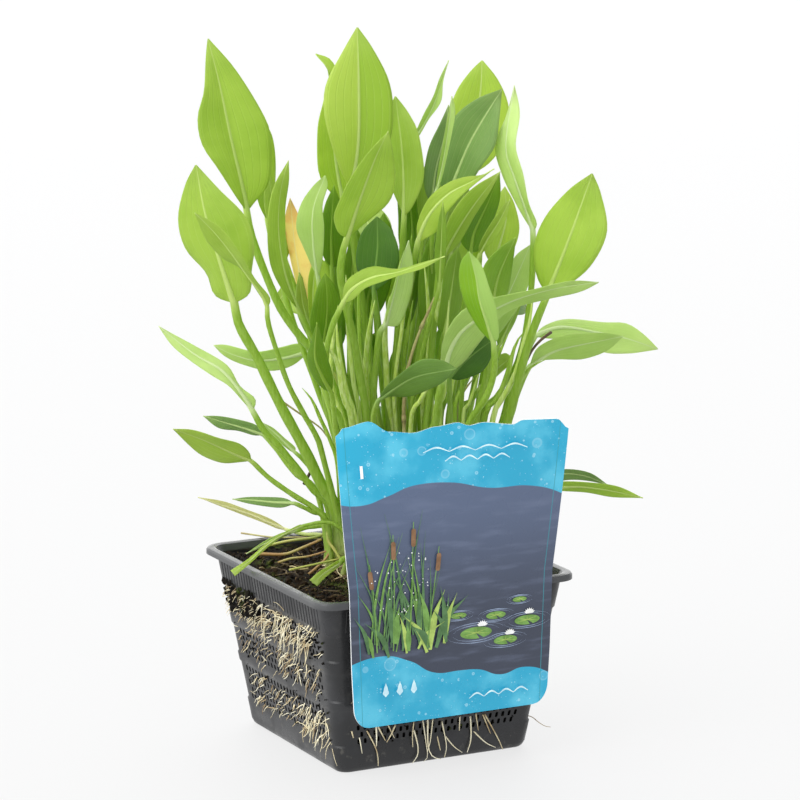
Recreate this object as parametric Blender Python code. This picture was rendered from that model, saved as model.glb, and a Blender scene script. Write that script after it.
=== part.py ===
# Potted water plantain: a square pond basket filled with soil, three crowns with
# their stalked leaves, one dead flower stalk and a picture card hung over the rim.
# Blender units are metres. The sizes below are in millimetres and MM turns them
# into metres. The origin is the middle of the basket's underside, +Z is up and the
# basket's sides lie along X and Y. The card hangs on the -Y side.
import math

import bmesh
import bpy
from mathutils import Vector

MM = 0.001
GAP = 0.3                   # clearance between touching pieces

# Basket
RIM_SIDE = 130.0            # outside of the lip
BASKET_HEIGHT = 84.1
FLOOR_SIDE = 96.5           # outside, at the foot
WALL_TOP_SIDE = 123.0       # outside of the wall just under the lip
LIP_DROP = 3.2              # height of the lip's outer edge
WALL = 1.5
FLOOR = 1.8
RIM_CORNER = 12.4           # outline radii
FOOT_CORNER = 6.0
BAND_DEPTH = 0.5            # the perforated bands stand back from the plain strips
BANDS = ((12.5, 31.0), (34.5, 49.0), (54.0, 67.5))
RIB_ZONE = (68.5, 79.5)     # fluted strip under the lip

# Soil
SOIL_TOP = 80.0
SOIL_LUMPS = 1.3

# Crowns: their middles to the viewer's right and toward the viewer
LEFT_CROWN = (-12.0, 2.0)
MIDDLE_CROWN = (11.0, -15.0)
RIGHT_CROWN = (32.0, 4.0)
CROWN_RADIUS = 13.1
CROWN_TOP = 87.0
RING_STEP = 5.0             # spacing of the stalks on a crown

# Card
CARD_FOOT_WIDTH = 97.0
CARD_MIDDLE_WIDTH = 100.0
CARD_TOP_WIDTH = 106.0
CARD_FOOT = 26.0
CARD_THICKNESS = 0.7
CARD_Y = -66.2              # its middle hangs just clear of the lip
CARD_MIDDLE_X = -1.0
CARD_TWIST = 14.0           # degrees that its top is turned toward the viewer
TONGUE_WIDTH = 18.0

# Where the leaves are seen from: right, toward and above the basket's foot. The
# viewer stands this many degrees round from the -Y side, toward -X.
EYE = (6.1, 1609.0, 478.8)
TURN = math.radians(27.28)

# Leaves
BLADE_CUTS = (0.06, 0.2, 0.38, 0.56, 0.74, 0.9)
BLADE_EDGE = 0.35           # half thickness at a margin
STALK_CUT = 24.0            # a stalk has a ring about this often

COLOURS = {
    "fresh": (0.36, 0.58, 0.07, 1),
    "pale": (0.45, 0.66, 0.20, 1),
    "deep": (0.10, 0.27, 0.05, 1),
    "blue": (0.17, 0.36, 0.12, 1),
    "yellow": (0.78, 0.58, 0.12, 1),
    "dry": (0.60, 0.52, 0.30, 1),
}


def clear_scene():
    for old in list(bpy.data.objects):
        bpy.data.objects.remove(old, do_unlink=True)


def make_material(name, colour, roughness):
    material = bpy.data.materials.new(name)
    material.use_nodes = True
    shader = material.node_tree.nodes["Principled BSDF"]
    shader.inputs["Base Color"].default_value = colour
    shader.inputs["Roughness"].default_value = roughness
    shader.inputs["Metallic"].default_value = 0.0
    return material


def solid_from(bm, name, material):
    """Closes the books on a bmesh: outward faces, welded seams, one named object."""
    bmesh.ops.remove_doubles(bm, verts=bm.verts, dist=0.01 * MM)
    bmesh.ops.recalc_face_normals(bm, faces=bm.faces)
    mesh = bpy.data.meshes.new(name)
    bm.to_mesh(mesh)
    bm.free()
    mesh.materials.append(material)
    solid = bpy.data.objects.new(name, mesh)
    collection.objects.link(solid)
    return solid


def bridge(bm, lower, upper):
    count = len(lower)
    for i in range(count):
        j = (i + 1) % count
        bm.faces.new((lower[i], lower[j], upper[j], upper[i]))


def mix(a, b, share):
    return a + (b - a) * share


# Basket and soil

def rounded_square(side, corner, steps=4):
    """Outline of a square with round corners, as points in the XY plane."""
    points = []
    reach = side / 2 - corner
    for quarter in range(4):
        middle = math.radians(45 + 90 * quarter)
        cx = math.copysign(reach, math.cos(middle))
        cy = math.copysign(reach, math.sin(middle))
        for step in range(steps + 1):
            angle = math.radians(90 * quarter + 90 * step / steps)
            points.append((cx + corner * math.cos(angle), cy + corner * math.sin(angle)))
    return points


def wall_at(z):
    """Outside width and corner radius of the basket's wall at height z."""
    share = z / BASKET_HEIGHT
    return mix(FLOOR_SIDE, WALL_TOP_SIDE, share), mix(FOOT_CORNER, RIM_CORNER - 3.0, share)


def basket_profile():
    """(side, corner radius, z) rings: up the outside, over the lip, down inside."""
    rings = []
    side, corner = wall_at(0.0)
    rings.append((side - 5.0, corner - 2.0, 0.0))
    rings.append((side - 1.2, corner - 0.4, 0.9))
    rings.append(wall_at(3.0) + (3.0,))
    for low, high in BANDS + (RIB_ZONE,):
        for z, back in ((low, 0.0), (low + 0.8, BAND_DEPTH), (high - 0.8, BAND_DEPTH), (high, 0.0)):
            side, corner = wall_at(z)
            rings.append((side - 2 * back, corner, z))
    side, corner = wall_at(BASKET_HEIGHT - LIP_DROP)
    rings.append((side, corner, BASKET_HEIGHT - LIP_DROP + 0.6))
    rings.append((RIM_SIDE - 0.6, RIM_CORNER, BASKET_HEIGHT - LIP_DROP))
    rings.append((RIM_SIDE, RIM_CORNER, BASKET_HEIGHT - LIP_DROP + 0.5))
    rings.append((RIM_SIDE, RIM_CORNER, BASKET_HEIGHT - 0.7))
    rings.append((RIM_SIDE - 1.4, RIM_CORNER, BASKET_HEIGHT))
    side, corner = wall_at(BASKET_HEIGHT)
    rings.append((side - 2 * WALL + 1.2, corner, BASKET_HEIGHT))
    side, corner = wall_at(BASKET_HEIGHT - 1.5)
    rings.append((side - 2 * WALL, corner, BASKET_HEIGHT - 1.5))
    side, corner = wall_at(FLOOR)
    rings.append((side - 2 * WALL, corner - 1.0, FLOOR))
    return rings


def make_basket(material):
    bm = bmesh.new()
    rings = []
    for side, corner, z in basket_profile():
        rings.append([bm.verts.new((x * MM, y * MM, z * MM)) for x, y in rounded_square(side, corner)])
    for lower, upper in zip(rings, rings[1:]):
        bridge(bm, lower, upper)
    bm.faces.new(rings[0])
    bm.faces.new(rings[-1])
    return solid_from(bm, "basket", material)


def soil_height(x, y):
    """Gentle lumps, a little higher round the crowns."""
    lumps = math.sin(0.21 * x + 1.3) * math.sin(0.17 * y + 0.4) + 0.6 * math.sin(0.37 * x - 0.29 * y)
    return SOIL_TOP - 1.0 + SOIL_LUMPS * 0.6 * lumps


def make_soil(material):
    bm = bmesh.new()
    rings = []
    for z in (FLOOR + GAP, 30.0, SOIL_TOP - 5.0):
        side, corner = wall_at(z)
        outline = rounded_square(side - 2 * WALL - 2 * GAP, max(corner - 1.0, 2.0))
        rings.append([bm.verts.new((x * MM, y * MM, z * MM)) for x, y in outline])
    side, corner = wall_at(SOIL_TOP)
    for share in (0.985, 0.72, 0.45, 0.2):
        outline = rounded_square((side - 2 * WALL - 2 * GAP) * share, corner * share)
        rings.append([bm.verts.new((x * MM, y * MM, soil_height(x, y) * MM)) for x, y in outline])
    for lower, upper in zip(rings, rings[1:]):
        bridge(bm, lower, upper)
    bm.faces.new(rings[0])
    bm.faces.new(rings[-1])
    return solid_from(bm, "soil", material)


# The viewer's readings and the basket's axes

def in_axes(right, toward, up):
    """A place told from the viewer's side, in the basket's own axes, in millimetres."""
    x = right * math.cos(TURN) - toward * math.sin(TURN)
    y = -right * math.sin(TURN) - toward * math.cos(TURN)
    return Vector((x, y, up))


def seen(right, up, toward):
    """Slides a place read on the upright plane through the basket's middle along
    its line of sight, until it is as far toward the viewer as it should be."""
    slide = toward / EYE[1]
    return in_axes(right + (EYE[0] - right) * slide, toward, up + (EYE[2] - up) * slide)


def reading(right, toward, up):
    """The other way: where a place shows on that upright plane."""
    slide = toward / EYE[1]
    return ((right - EYE[0] * slide) / (1 - slide), (up - EYE[2] * slide) / (1 - slide))


# Crowns

def make_crown(name, middle, material):
    """A squat corm on the soil, flat on top where the stalks stand."""
    bm = bmesh.new()
    centre = in_axes(middle[0], middle[1], 0.0)
    rows = ((0.80, SOIL_TOP + 1.2), (1.0, SOIL_TOP + 3.2), (1.0, CROWN_TOP - 1.6), (0.93, CROWN_TOP))
    rings = []
    for share, z in rows:
        ring = []
        for step in range(14):
            angle = 2 * math.pi * step / 14
            radius = CROWN_RADIUS * share * (1 + 0.05 * math.sin(3 * angle + middle[0]))
            place = (centre.x + radius * math.cos(angle), centre.y + radius * math.sin(angle), z)
            ring.append(bm.verts.new([c * MM for c in place]))
        rings.append(ring)
    for lower, upper in zip(rings, rings[1:]):
        bridge(bm, lower, upper)
    bm.faces.new(rings[0])
    bm.faces.new(rings[-1])
    return solid_from(bm, name, material)


def stand(crown, ring, hour):
    """A place on a crown: a ring out from its middle, at an hour of a clock seen
    from above with 6 toward the viewer. Ring 3 is on the soil beside the crown."""
    angle = math.radians(30 * hour)
    radius = RING_STEP * ring + (1.2 if ring == 3 else 0.0)
    up = CROWN_TOP + GAP if ring < 3 else SOIL_TOP + 3.0
    return (crown[0] + radius * math.sin(angle), crown[1] - radius * math.cos(angle), up)


# Leaves

def smooth(points, shares):
    """Places on a smooth curve through the points, at shares of its length."""
    ends = [points[0] * 2 - points[1]] + list(points) + [points[-1] * 2 - points[-2]]
    walk = []
    for a, b, c, d in zip(ends, ends[1:], ends[2:], ends[3:]):
        for step in range(12):
            t = step / 12
            walk.append(0.5 * (2 * b + (c - a) * t + (2 * a - 5 * b + 4 * c - d) * t * t
                               + (3 * b - a - 3 * c + d) * t ** 3))
    walk.append(points[-1])
    run = [0.0]
    for a, b in zip(walk, walk[1:]):
        run.append(run[-1] + (b - a).length)
    places = []
    for share in shares:
        goal = share * run[-1]
        k = 0
        while k < len(run) - 2 and run[k + 1] < goal:
            k += 1
        step = run[k + 1] - run[k]
        places.append(walk[k].lerp(walk[k + 1], (goal - run[k]) / step if step else 0.0))
    return places, run[-1]


def leaf(name, foot, stalk, rib, left, right, depth, lift=(0, 0), stem=3.4, colour="fresh", cut=False):
    """One leaf: a six-sided stalk that opens into a blade folded along its rib.

    stalk, rib, left and right are (right, up) readings in millimetres: the stalk
    from its foot up, then rib and margins from neck to tip. depth tells how far
    toward the viewer the neck, the blade's middle and the tip are, and lift how
    much nearer than the rib each margin comes. A cut leaf ends square."""
    neck, middle, tip = depth
    flat = [Vector(reading(*foot))] + [Vector(p) for p in stalk] + [Vector(rib[0])]
    length = smooth(flat, (1,))[1]
    cuts = max(3, round(length / STALK_CUT))
    shares = [k / cuts for k in range(cuts + 1)]
    stalk_places = [seen(p.x, p.y, mix(foot[1], neck, share ** 1.5))
                    for share, p in zip(shares, smooth(flat, shares)[0])]

    def blade_line(points, nearer):
        line = [Vector(p) for p in points]
        cut_shares = BLADE_CUTS + (1.0,)
        places = []
        for share, p in zip(cut_shares, smooth(line, cut_shares)[0]):
            bow = 4 * share * (1 - share) * (middle - (neck + tip) / 2)
            bulge = nearer * math.sin(math.pi * min(share + 0.08, 1.0)) if not cut else nearer
            places.append(seen(p.x, p.y, mix(neck, tip, share) + bow + bulge))
        return places

    rib_places = blade_line(rib, 0.0)
    ends = [] if cut else [rib[-1]]
    left_places = blade_line([rib[0]] + list(left) + ends, lift[0])
    right_places = blade_line([rib[0]] + list(right) + ends, lift[1])
    if not cut:
        rib_places, tip_place = rib_places[:-1], rib_places[-1]

    bm = bmesh.new()
    rings = []
    across = right_places[1] - left_places[1]
    for k, place in enumerate(stalk_places[:-1]):
        along = stalk_places[k + 1] - stalk_places[k - 1] if k else Vector((0, 0, 1))
        side = (across - along * (across.dot(along) / along.length_squared)).normalized()
        front = side.cross(along).normalized()
        radius = stem / 2 * (1.12 - 0.3 * shares[k])
        ring = []
        for degrees in (150, 90, 30, -30, -90, -150):
            turn = math.radians(degrees)
            ring.append(place + side * radius * math.cos(turn) + front * radius * math.sin(turn))
        rings.append(ring)
    for k, place in enumerate(rib_places):
        before = rib_places[k - 1] if k else stalk_places[-2]
        after = rib_places[k + 1] if k + 1 < len(rib_places) else place * 2 - before
        edge_a, edge_b = left_places[k], right_places[k]
        front = (edge_b - edge_a).cross(after - before).normalized()
        spine = mix(stem * 0.40, 0.6, min(1.0, BLADE_CUTS[min(k, 5)] * 1.3))
        rings.append([edge_a + front * BLADE_EDGE, place + front * spine, edge_b + front * BLADE_EDGE,
                      edge_b - front * BLADE_EDGE, place - front * spine, edge_a - front * BLADE_EDGE])
    loops = [[bm.verts.new(p * MM) for p in ring] for ring in rings]
    for lower, upper in zip(loops, loops[1:]):
        bridge(bm, lower, upper)
    bm.faces.new(loops[0])
    if cut:
        bm.faces.new(loops[-1])
    else:
        point = bm.verts.new(tip_place * MM)
        for i in range(6):
            bm.faces.new((loops[-1][i], loops[-1][(i + 1) % 6], point))
    return solid_from(bm, name, greens[colour])


def left_leaves():
    crown = LEFT_CROWN
    leaf("leaf_left_tall", stand(crown, 1, 10),
         [(-13, 148), (-16, 162), (-24, 175), (-35, 183), (-47, 199), (-55, 217), (-61, 234)],
         [(-63, 245), (-66, 260), (-70, 278), (-75, 303), (-80, 324)],
         [(-68, 252), (-76, 265), (-83, 276), (-85, 288), (-82, 300), (-81, 315)],
         [(-60, 249), (-53, 259), (-52, 279), (-56, 291), (-68, 310)],
         (-20, -26, -36), (10, -4), 4.2)
    leaf("leaf_left_broad", stand(crown, 2, 8),
         [(-24, 108), (-30, 119), (-38, 136), (-49, 157), (-59, 178), (-67, 193)],
         [(-69, 203), (-72, 212), (-77, 228), (-82, 245), (-86, 267)],
         [(-78, 207), (-82, 217), (-91, 228), (-94, 242), (-91, 257)],
         [(-62, 208), (-61, 218), (-60, 230), (-64, 243), (-76, 256)],
         (30, 32, 26), (-10, 8), 5.0)
    leaf("leaf_left_small", stand(crown, 2, 7),
         [(-29, 131), (-32, 141), (-38, 152), (-45, 166), (-51, 184), (-54, 195)],
         [(-54, 201), (-57, 208), (-63, 216), (-70, 226), (-78, 236), (-87, 245)],
         [(-57, 206), (-66, 219), (-74, 224), (-82, 233)],
         [(-53, 206), (-60, 215), (-67, 227), (-75, 238)],
         (42, 48, 52), (-4, 5), 2.8)
    leaf("leaf_left_behind", stand(crown, 2, 11),
         [(-20, 130), (-32, 165), (-44, 200), (-51, 228)],
         [(-54, 241), (-55, 255), (-56, 268), (-55, 287)],
         [(-58, 250), (-60, 264), (-59, 277)],
         [(-51, 248), (-50, 262), (-51, 278)],
         (-46, -54, -62), (6, -4), 3.0, "deep")
    leaf("leaf_left_narrow", stand(crown, 1, 8),
         [(-13, 130), (-20, 155), (-30, 180)],
         [(-40, 200), (-46, 216), (-49, 236), (-48, 254), (-44, 269)],
         [(-47, 209), (-53, 222), (-54, 238), (-51, 256)],
         [(-42, 208), (-45, 226), (-46, 245), (-44, 259)],
         (10, 12, 8), (8, -7), 3.2)
    leaf("leaf_yellow", stand(crown, 1, 12),
         [(-12, 130), (-20, 160), (-28, 185)],
         [(-33, 204), (-37, 220), (-41, 238), (-44, 252)],
         [(-39, 212), (-44, 228), (-46, 242)],
         [(-33, 214), (-35, 228), (-39, 245)],
         (-26, -32, -38), (-5, 6), 3.0, "yellow")
    leaf("leaf_left_blue", stand(crown, 0, 12),
         [(-10, 130), (-19, 165), (-28, 195)],
         [(-31, 214), (-33, 230), (-33, 246), (-27.5, 262)],
         [(-37, 228), (-41, 238), (-39, 248), (-33, 257)],
         [(-29, 224), (-28, 237), (-29, 248), (-26.5, 257)],
         (-4, -2, -6), (-7, 4), 3.0, "blue")
    leaf("leaf_front_arch", stand(crown, 2, 6),
         [(-20, 144), (-26, 157), (-28, 169), (-28, 178), (-25, 192)],
         [(-20, 203), (-15, 210), (-6, 215), (6, 217.5), (27, 225)],
         [(-19, 212), (-14, 217), (-6, 220), (5, 219), (16, 222)],
         [(-15, 205), (-10, 210), (-3, 213), (6, 216), (16, 219)],
         (42, 62, 74), (-5, 6), 3.2, "pale")
    leaf("leaf_low_left", stand(crown, 2, 9),
         [(-27, 109), (-34, 117), (-47, 134), (-56, 144)],
         [(-61, 153), (-66, 161), (-75, 172), (-88, 180), (-104, 193)],
         [(-65, 157), (-72, 165), (-80, 170), (-90, 177), (-98, 184)],
         [(-60, 159), (-67, 165), (-73, 175), (-88, 184), (-97, 189)],
         (4, 2, -4), (2, -2), 3.6)
    leaf("leaf_left_dusky", stand(crown, 3, 10),
         [(-32, 115), (-42, 124), (-51, 136)],
         [(-56, 142), (-64, 145), (-74, 148), (-84, 151)],
         [(-61, 142), (-68, 144), (-77, 145.5)],
         [(-60, 147), (-69, 149.5), (-77, 151)],
         (-24, -30, -38), (-2, 2), 2.6, "blue")
    leaf("leaf_left_wisp", stand(crown, 2, 10),
         [(-30, 118), (-38, 130)],
         [(-42, 134), (-46, 138), (-51, 143), (-57, 148)],
         [(-44, 134.5), (-49, 138.5), (-54, 143)],
         [(-42, 136.5), (-47, 141), (-52, 145.5)],
         (-8, -10, -12), (0, 0), 2.2)
    leaf("leaf_left_spotted", stand(crown, 3, 8),
         [(-27, 99), (-32.5, 107), (-43, 114), (-54, 122)],
         [(-62, 130), (-70, 133.5), (-84, 140), (-98, 145)],
         [(-67, 129.5), (-76, 129), (-84, 132), (-91, 138)],
         [(-63, 134), (-68, 138.5), (-78, 141), (-89, 144.5)],
         (12, 14, 16), (-6, 5), 2.8)
    leaf("leaf_left_low", stand(crown, 3, 9.4),
         [(-27, 102), (-34, 106)],
         [(-42, 110), (-52, 110.5), (-62, 111.5), (-71, 112)],
         [(-48, 108), (-55, 108.5), (-64, 110)],
         [(-47, 112.5), (-55, 113), (-64, 113)],
         (0, -6, -12), (1, -1), 2.4, "deep")
    leaf("leaf_dying", stand(crown, 3, 11),
         [(-28, 94), (-38, 95.5)],
         [(-46, 97.5), (-54, 101), (-63, 105), (-87, 113)],
         [(-50, 98), (-57, 101), (-66, 104.5), (-76, 108.5)],
         [(-49, 100), (-55, 103.5), (-64, 107), (-75, 111)],
         (-52, -58, -64), (0, 0), 2.0, "dry")
    leaf("strap_over_rim", stand(crown, 3, 7),
         [(-17, 92), (-24, 100), (-31, 101)],
         [(-40, 99), (-49, 94.5), (-56, 89.5), (-63, 83), (-71, 77)],
         [(-41, 97.6), (-49, 92.8), (-55.5, 87.7), (-62, 81.6), (-69.5, 75)],
         [(-40, 100.6), (-49, 96), (-56.5, 91), (-64, 84.6), (-72, 79)],
         (14, 18, 19), (0, 0), 3.0, "fresh", cut=True)
    leaf("strap_on_soil", stand(crown, 3, 12),
         [(-22, 98), (-34, 99)],
         [(-42, 97), (-48, 95), (-56, 91), (-65, 86)],
         [(-46, 94.8), (-50, 93), (-56, 89.8)],
         [(-46, 96.8), (-50, 95.4), (-57, 91.8)],
         (-22, -20, -17), (0, 0), 2.4, "pale")
    leaf("strap_cut_short", stand(crown, 3, 6),
         [(-19, 83.5)],
         [(-22, 81), (-27, 77.6), (-31, 74.6), (-35, 70.6)],
         [(-22, 79), (-26, 75.6), (-29.4, 72.6), (-32.6, 69)],
         [(-22.5, 83.2), (-27.4, 79.8), (-32.6, 76.6), (-37, 72.6)],
         (25, 33, 42), (0, 0), 3.4, "pale", cut=True)
    leaf("leaf_back_left", stand(crown, 2, 12),
         [(-14, 120), (-20, 150), (-27, 172)],
         [(-35, 181), (-47, 178), (-60, 177), (-71, 180), (-79, 184)],
         [(-43, 174.5), (-54, 172), (-66, 175), (-74, 179)],
         [(-40, 184.5), (-48, 183), (-60, 181), (-73, 184)],
         (-44, -54, -66), (-4, 4), 3.4, "blue")
    leaf("leaf_left_shade", stand(crown, 1, 6),
         [(-10, 130), (-18, 160), (-25, 190)],
         [(-27, 206), (-27, 220), (-26, 234), (-23, 252)],
         [(-31, 213), (-31, 224), (-29, 238)],
         [(-22, 213), (-21, 226), (-20, 240)],
         (18, 20, 18), (7, -6), 3.0, "deep")
    leaf("leaf_left_front_low", stand(crown, 2, 5),
         [(-14, 118), (-22, 138)],
         [(-32, 150), (-38, 158), (-44, 166), (-49, 177)],
         [(-36, 151), (-43, 159), (-48, 168)],
         [(-31, 156), (-35, 164), (-43, 172)],
         (44, 58, 72), (-3, -3), 2.8)


def middle_leaves():
    crown = MIDDLE_CROWN
    leaf("leaf_top", stand(crown, 1, 10),
         [(-4, 140), (-8, 180), (-14, 225)],
         [(-17, 256), (-14, 267), (-12.5, 282), (-12.5, 306), (-13, 329)],
         [(-21, 265), (-25, 276), (-28, 290), (-27, 303), (-20, 317)],
         [(-7, 262), (1, 275), (3, 290), (1, 305), (-6, 319)],
         (-8, -12, -22), (12, 2), 4.2)
    leaf("leaf_top_curled", stand(crown, 2, 10),
         [(-6, 140), (-12, 190), (-17, 235)],
         [(-20, 250), (-23, 268), (-25, 290), (-25, 307), (-32, 317)],
         [(-27, 256), (-31, 265), (-31, 283), (-28, 296), (-26, 308)],
         [(-15, 262), (-15, 280), (-19, 298), (-24, 313)],
         (-36, -44, -56), (7, -5), 3.2)
    leaf("leaf_centre_front", stand(LEFT_CROWN, 2, 4),
         [(-9, 148), (-13, 174), (-15, 187), (-19, 204), (-21, 216), (-20, 226)],
         [(-18, 233), (-15, 242), (-11, 254), (-5, 270), (1, 282)],
         [(-22, 236), (-24, 243), (-22, 249), (-18, 257), (-9, 271)],
         [(-13, 237), (-7, 242), (1, 250), (4, 260), (3, 272)],
         (38, 48, 56), (9, -8), 3.8)
    leaf("leaf_top_right", stand(crown, 1, 2),
         [(4, 150), (5, 190), (7, 225)],
         [(8, 243), (8, 258), (7, 275), (4, 298)],
         [(4, 252), (-1, 266), (-2, 284)],
         [(12, 248), (17, 262), (15, 279), (10, 290)],
         (-24, -30, -38), (-4, 11), 3.6)
    leaf("leaf_curl_right", stand(crown, 1, 12),
         [(8, 160), (8, 220), (9, 262)],
         [(12, 277), (17, 285), (21, 293), (24.5, 303), (28, 314)],
         [(13, 281), (17, 290), (21, 297.5), (24, 306)],
         [(15, 280), (19, 287), (24.5, 295), (25.5, 304)],
         (-52, -60, -68), (2, 2), 2.6)
    leaf("leaf_bluish", stand(crown, 1, 4),
         [(8, 150), (13, 200), (17, 235)],
         [(20, 248), (22, 264), (26, 280), (28, 294)],
         [(17, 258), (18.5, 273), (24, 285)],
         [(24, 258), (28, 270), (30, 284)],
         (-30, -36, -42), (6, -3), 2.8, "blue")
    leaf("leaf_back_top", stand(crown, 2, 2),
         [(12, 150), (21, 200), (30, 240)],
         [(35, 260), (39, 280), (42, 298), (43, 314)],
         [(29, 272), (27, 286), (31, 299), (37, 308)],
         [(47, 268), (55, 281), (55, 293), (50, 305)],
         (-52, -66, -80), (10, -5), 3.8)
    leaf("leaf_dark_top", stand(crown, 2, 3),
         [(12, 150), (19, 200), (25, 238)],
         [(28, 252), (33, 265), (39, 279), (52, 301)],
         [(24, 259), (25, 272), (30, 287), (40, 296)],
         [(37, 257), (43, 266), (49, 276), (51, 289)],
         (-16, -14, -16), (-3, 12), 3.8, "blue")
    leaf("leaf_centre_dark", stand(crown, 1, 8),
         [(2, 130), (0, 165)],
         [(-2, 192), (-3, 208), (-3.5, 224), (-4, 243)],
         [(-8, 202), (-11, 218), (-10, 232)],
         [(3, 202), (4.5, 218), (1, 234)],
         (10, 14, 14), (-6, 5), 3.2, "deep")
    leaf("leaf_centre_grey", stand(LEFT_CROWN, 2, 3),
         [(-6, 146), (-6, 160), (-5, 174), (-3, 190)],
         [(-1, 199), (3, 210), (7.5, 221), (10.5, 231)],
         [(-0.5, 204), (4, 215), (8, 225)],
         [(4, 201), (9, 212), (12, 222)],
         (20, 24, 28), (6, -4), 3.4, "pale")
    leaf("leaf_slim_middle", stand(crown, 2, 5),
         [(10, 140), (14, 170), (20, 196)],
         [(24, 210), (24.5, 222), (25, 236), (25.5, 250)],
         [(22, 219), (22, 229), (23.5, 241)],
         [(26, 217), (27, 228), (27, 240)],
         (26, 30, 32), (1, 1), 2.4, "pale")
    leaf("leaf_front_dark", stand(crown, 2, 7),
         [(-1, 116), (-5, 136), (-6, 150)],
         [(-4, 158), (4, 164), (14, 169.5), (32, 173)],
         [(0, 165), (8, 172), (16, 177), (25, 177)],
         [(2, 160), (9, 160), (17, 162.5), (25, 166)],
         (50, 64, 74), (5, -6), 3.0, "deep")
    leaf("leaf_back_one", stand(crown, 2, 11),
         [(-8, 130), (-18, 165), (-26, 190)],
         [(-34, 204), (-41, 209), (-46, 208), (-50, 202)],
         [(-36, 208), (-42, 215), (-49, 209)],
         [(-34, 200), (-38, 198), (-45, 200)],
         (-64, -86, -104), (2, 2), 3.4)
    leaf("leaf_back_two", stand(crown, 2, 12),
         [(2, 130), (-2, 170), (-5, 205)],
         [(-6, 224), (-8, 238), (-10, 246), (-12, 250)],
         [(-12, 234), (-16, 243), (-15, 249)],
         [(2, 234), (1, 242), (-6, 249)],
         (-48, -70, -92), (3, 3), 3.8, "blue")
    leaf("leaf_back_three", stand(crown, 2, 1),
         [(10, 130), (14, 165), (18, 195)],
         [(22, 212), (27, 218), (31, 219), (35, 215)],
         [(19, 219), (25, 228), (32, 223)],
         [(27, 209), (33, 209), (36, 211)],
         (-58, -82, -100), (2, 2), 3.4, "deep")
    leaf("leaf_back_low", stand(crown, 3, 12),
         [(4, 110), (4, 130)],
         [(3, 144), (2, 150), (1, 153), (0, 153)],
         [(-4, 149), (-6, 154), (-4, 156)],
         [(9, 149), (9, 154), (4, 156)],
         (-62, -84, -104), (0, 0), 3.0, "deep")


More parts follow.
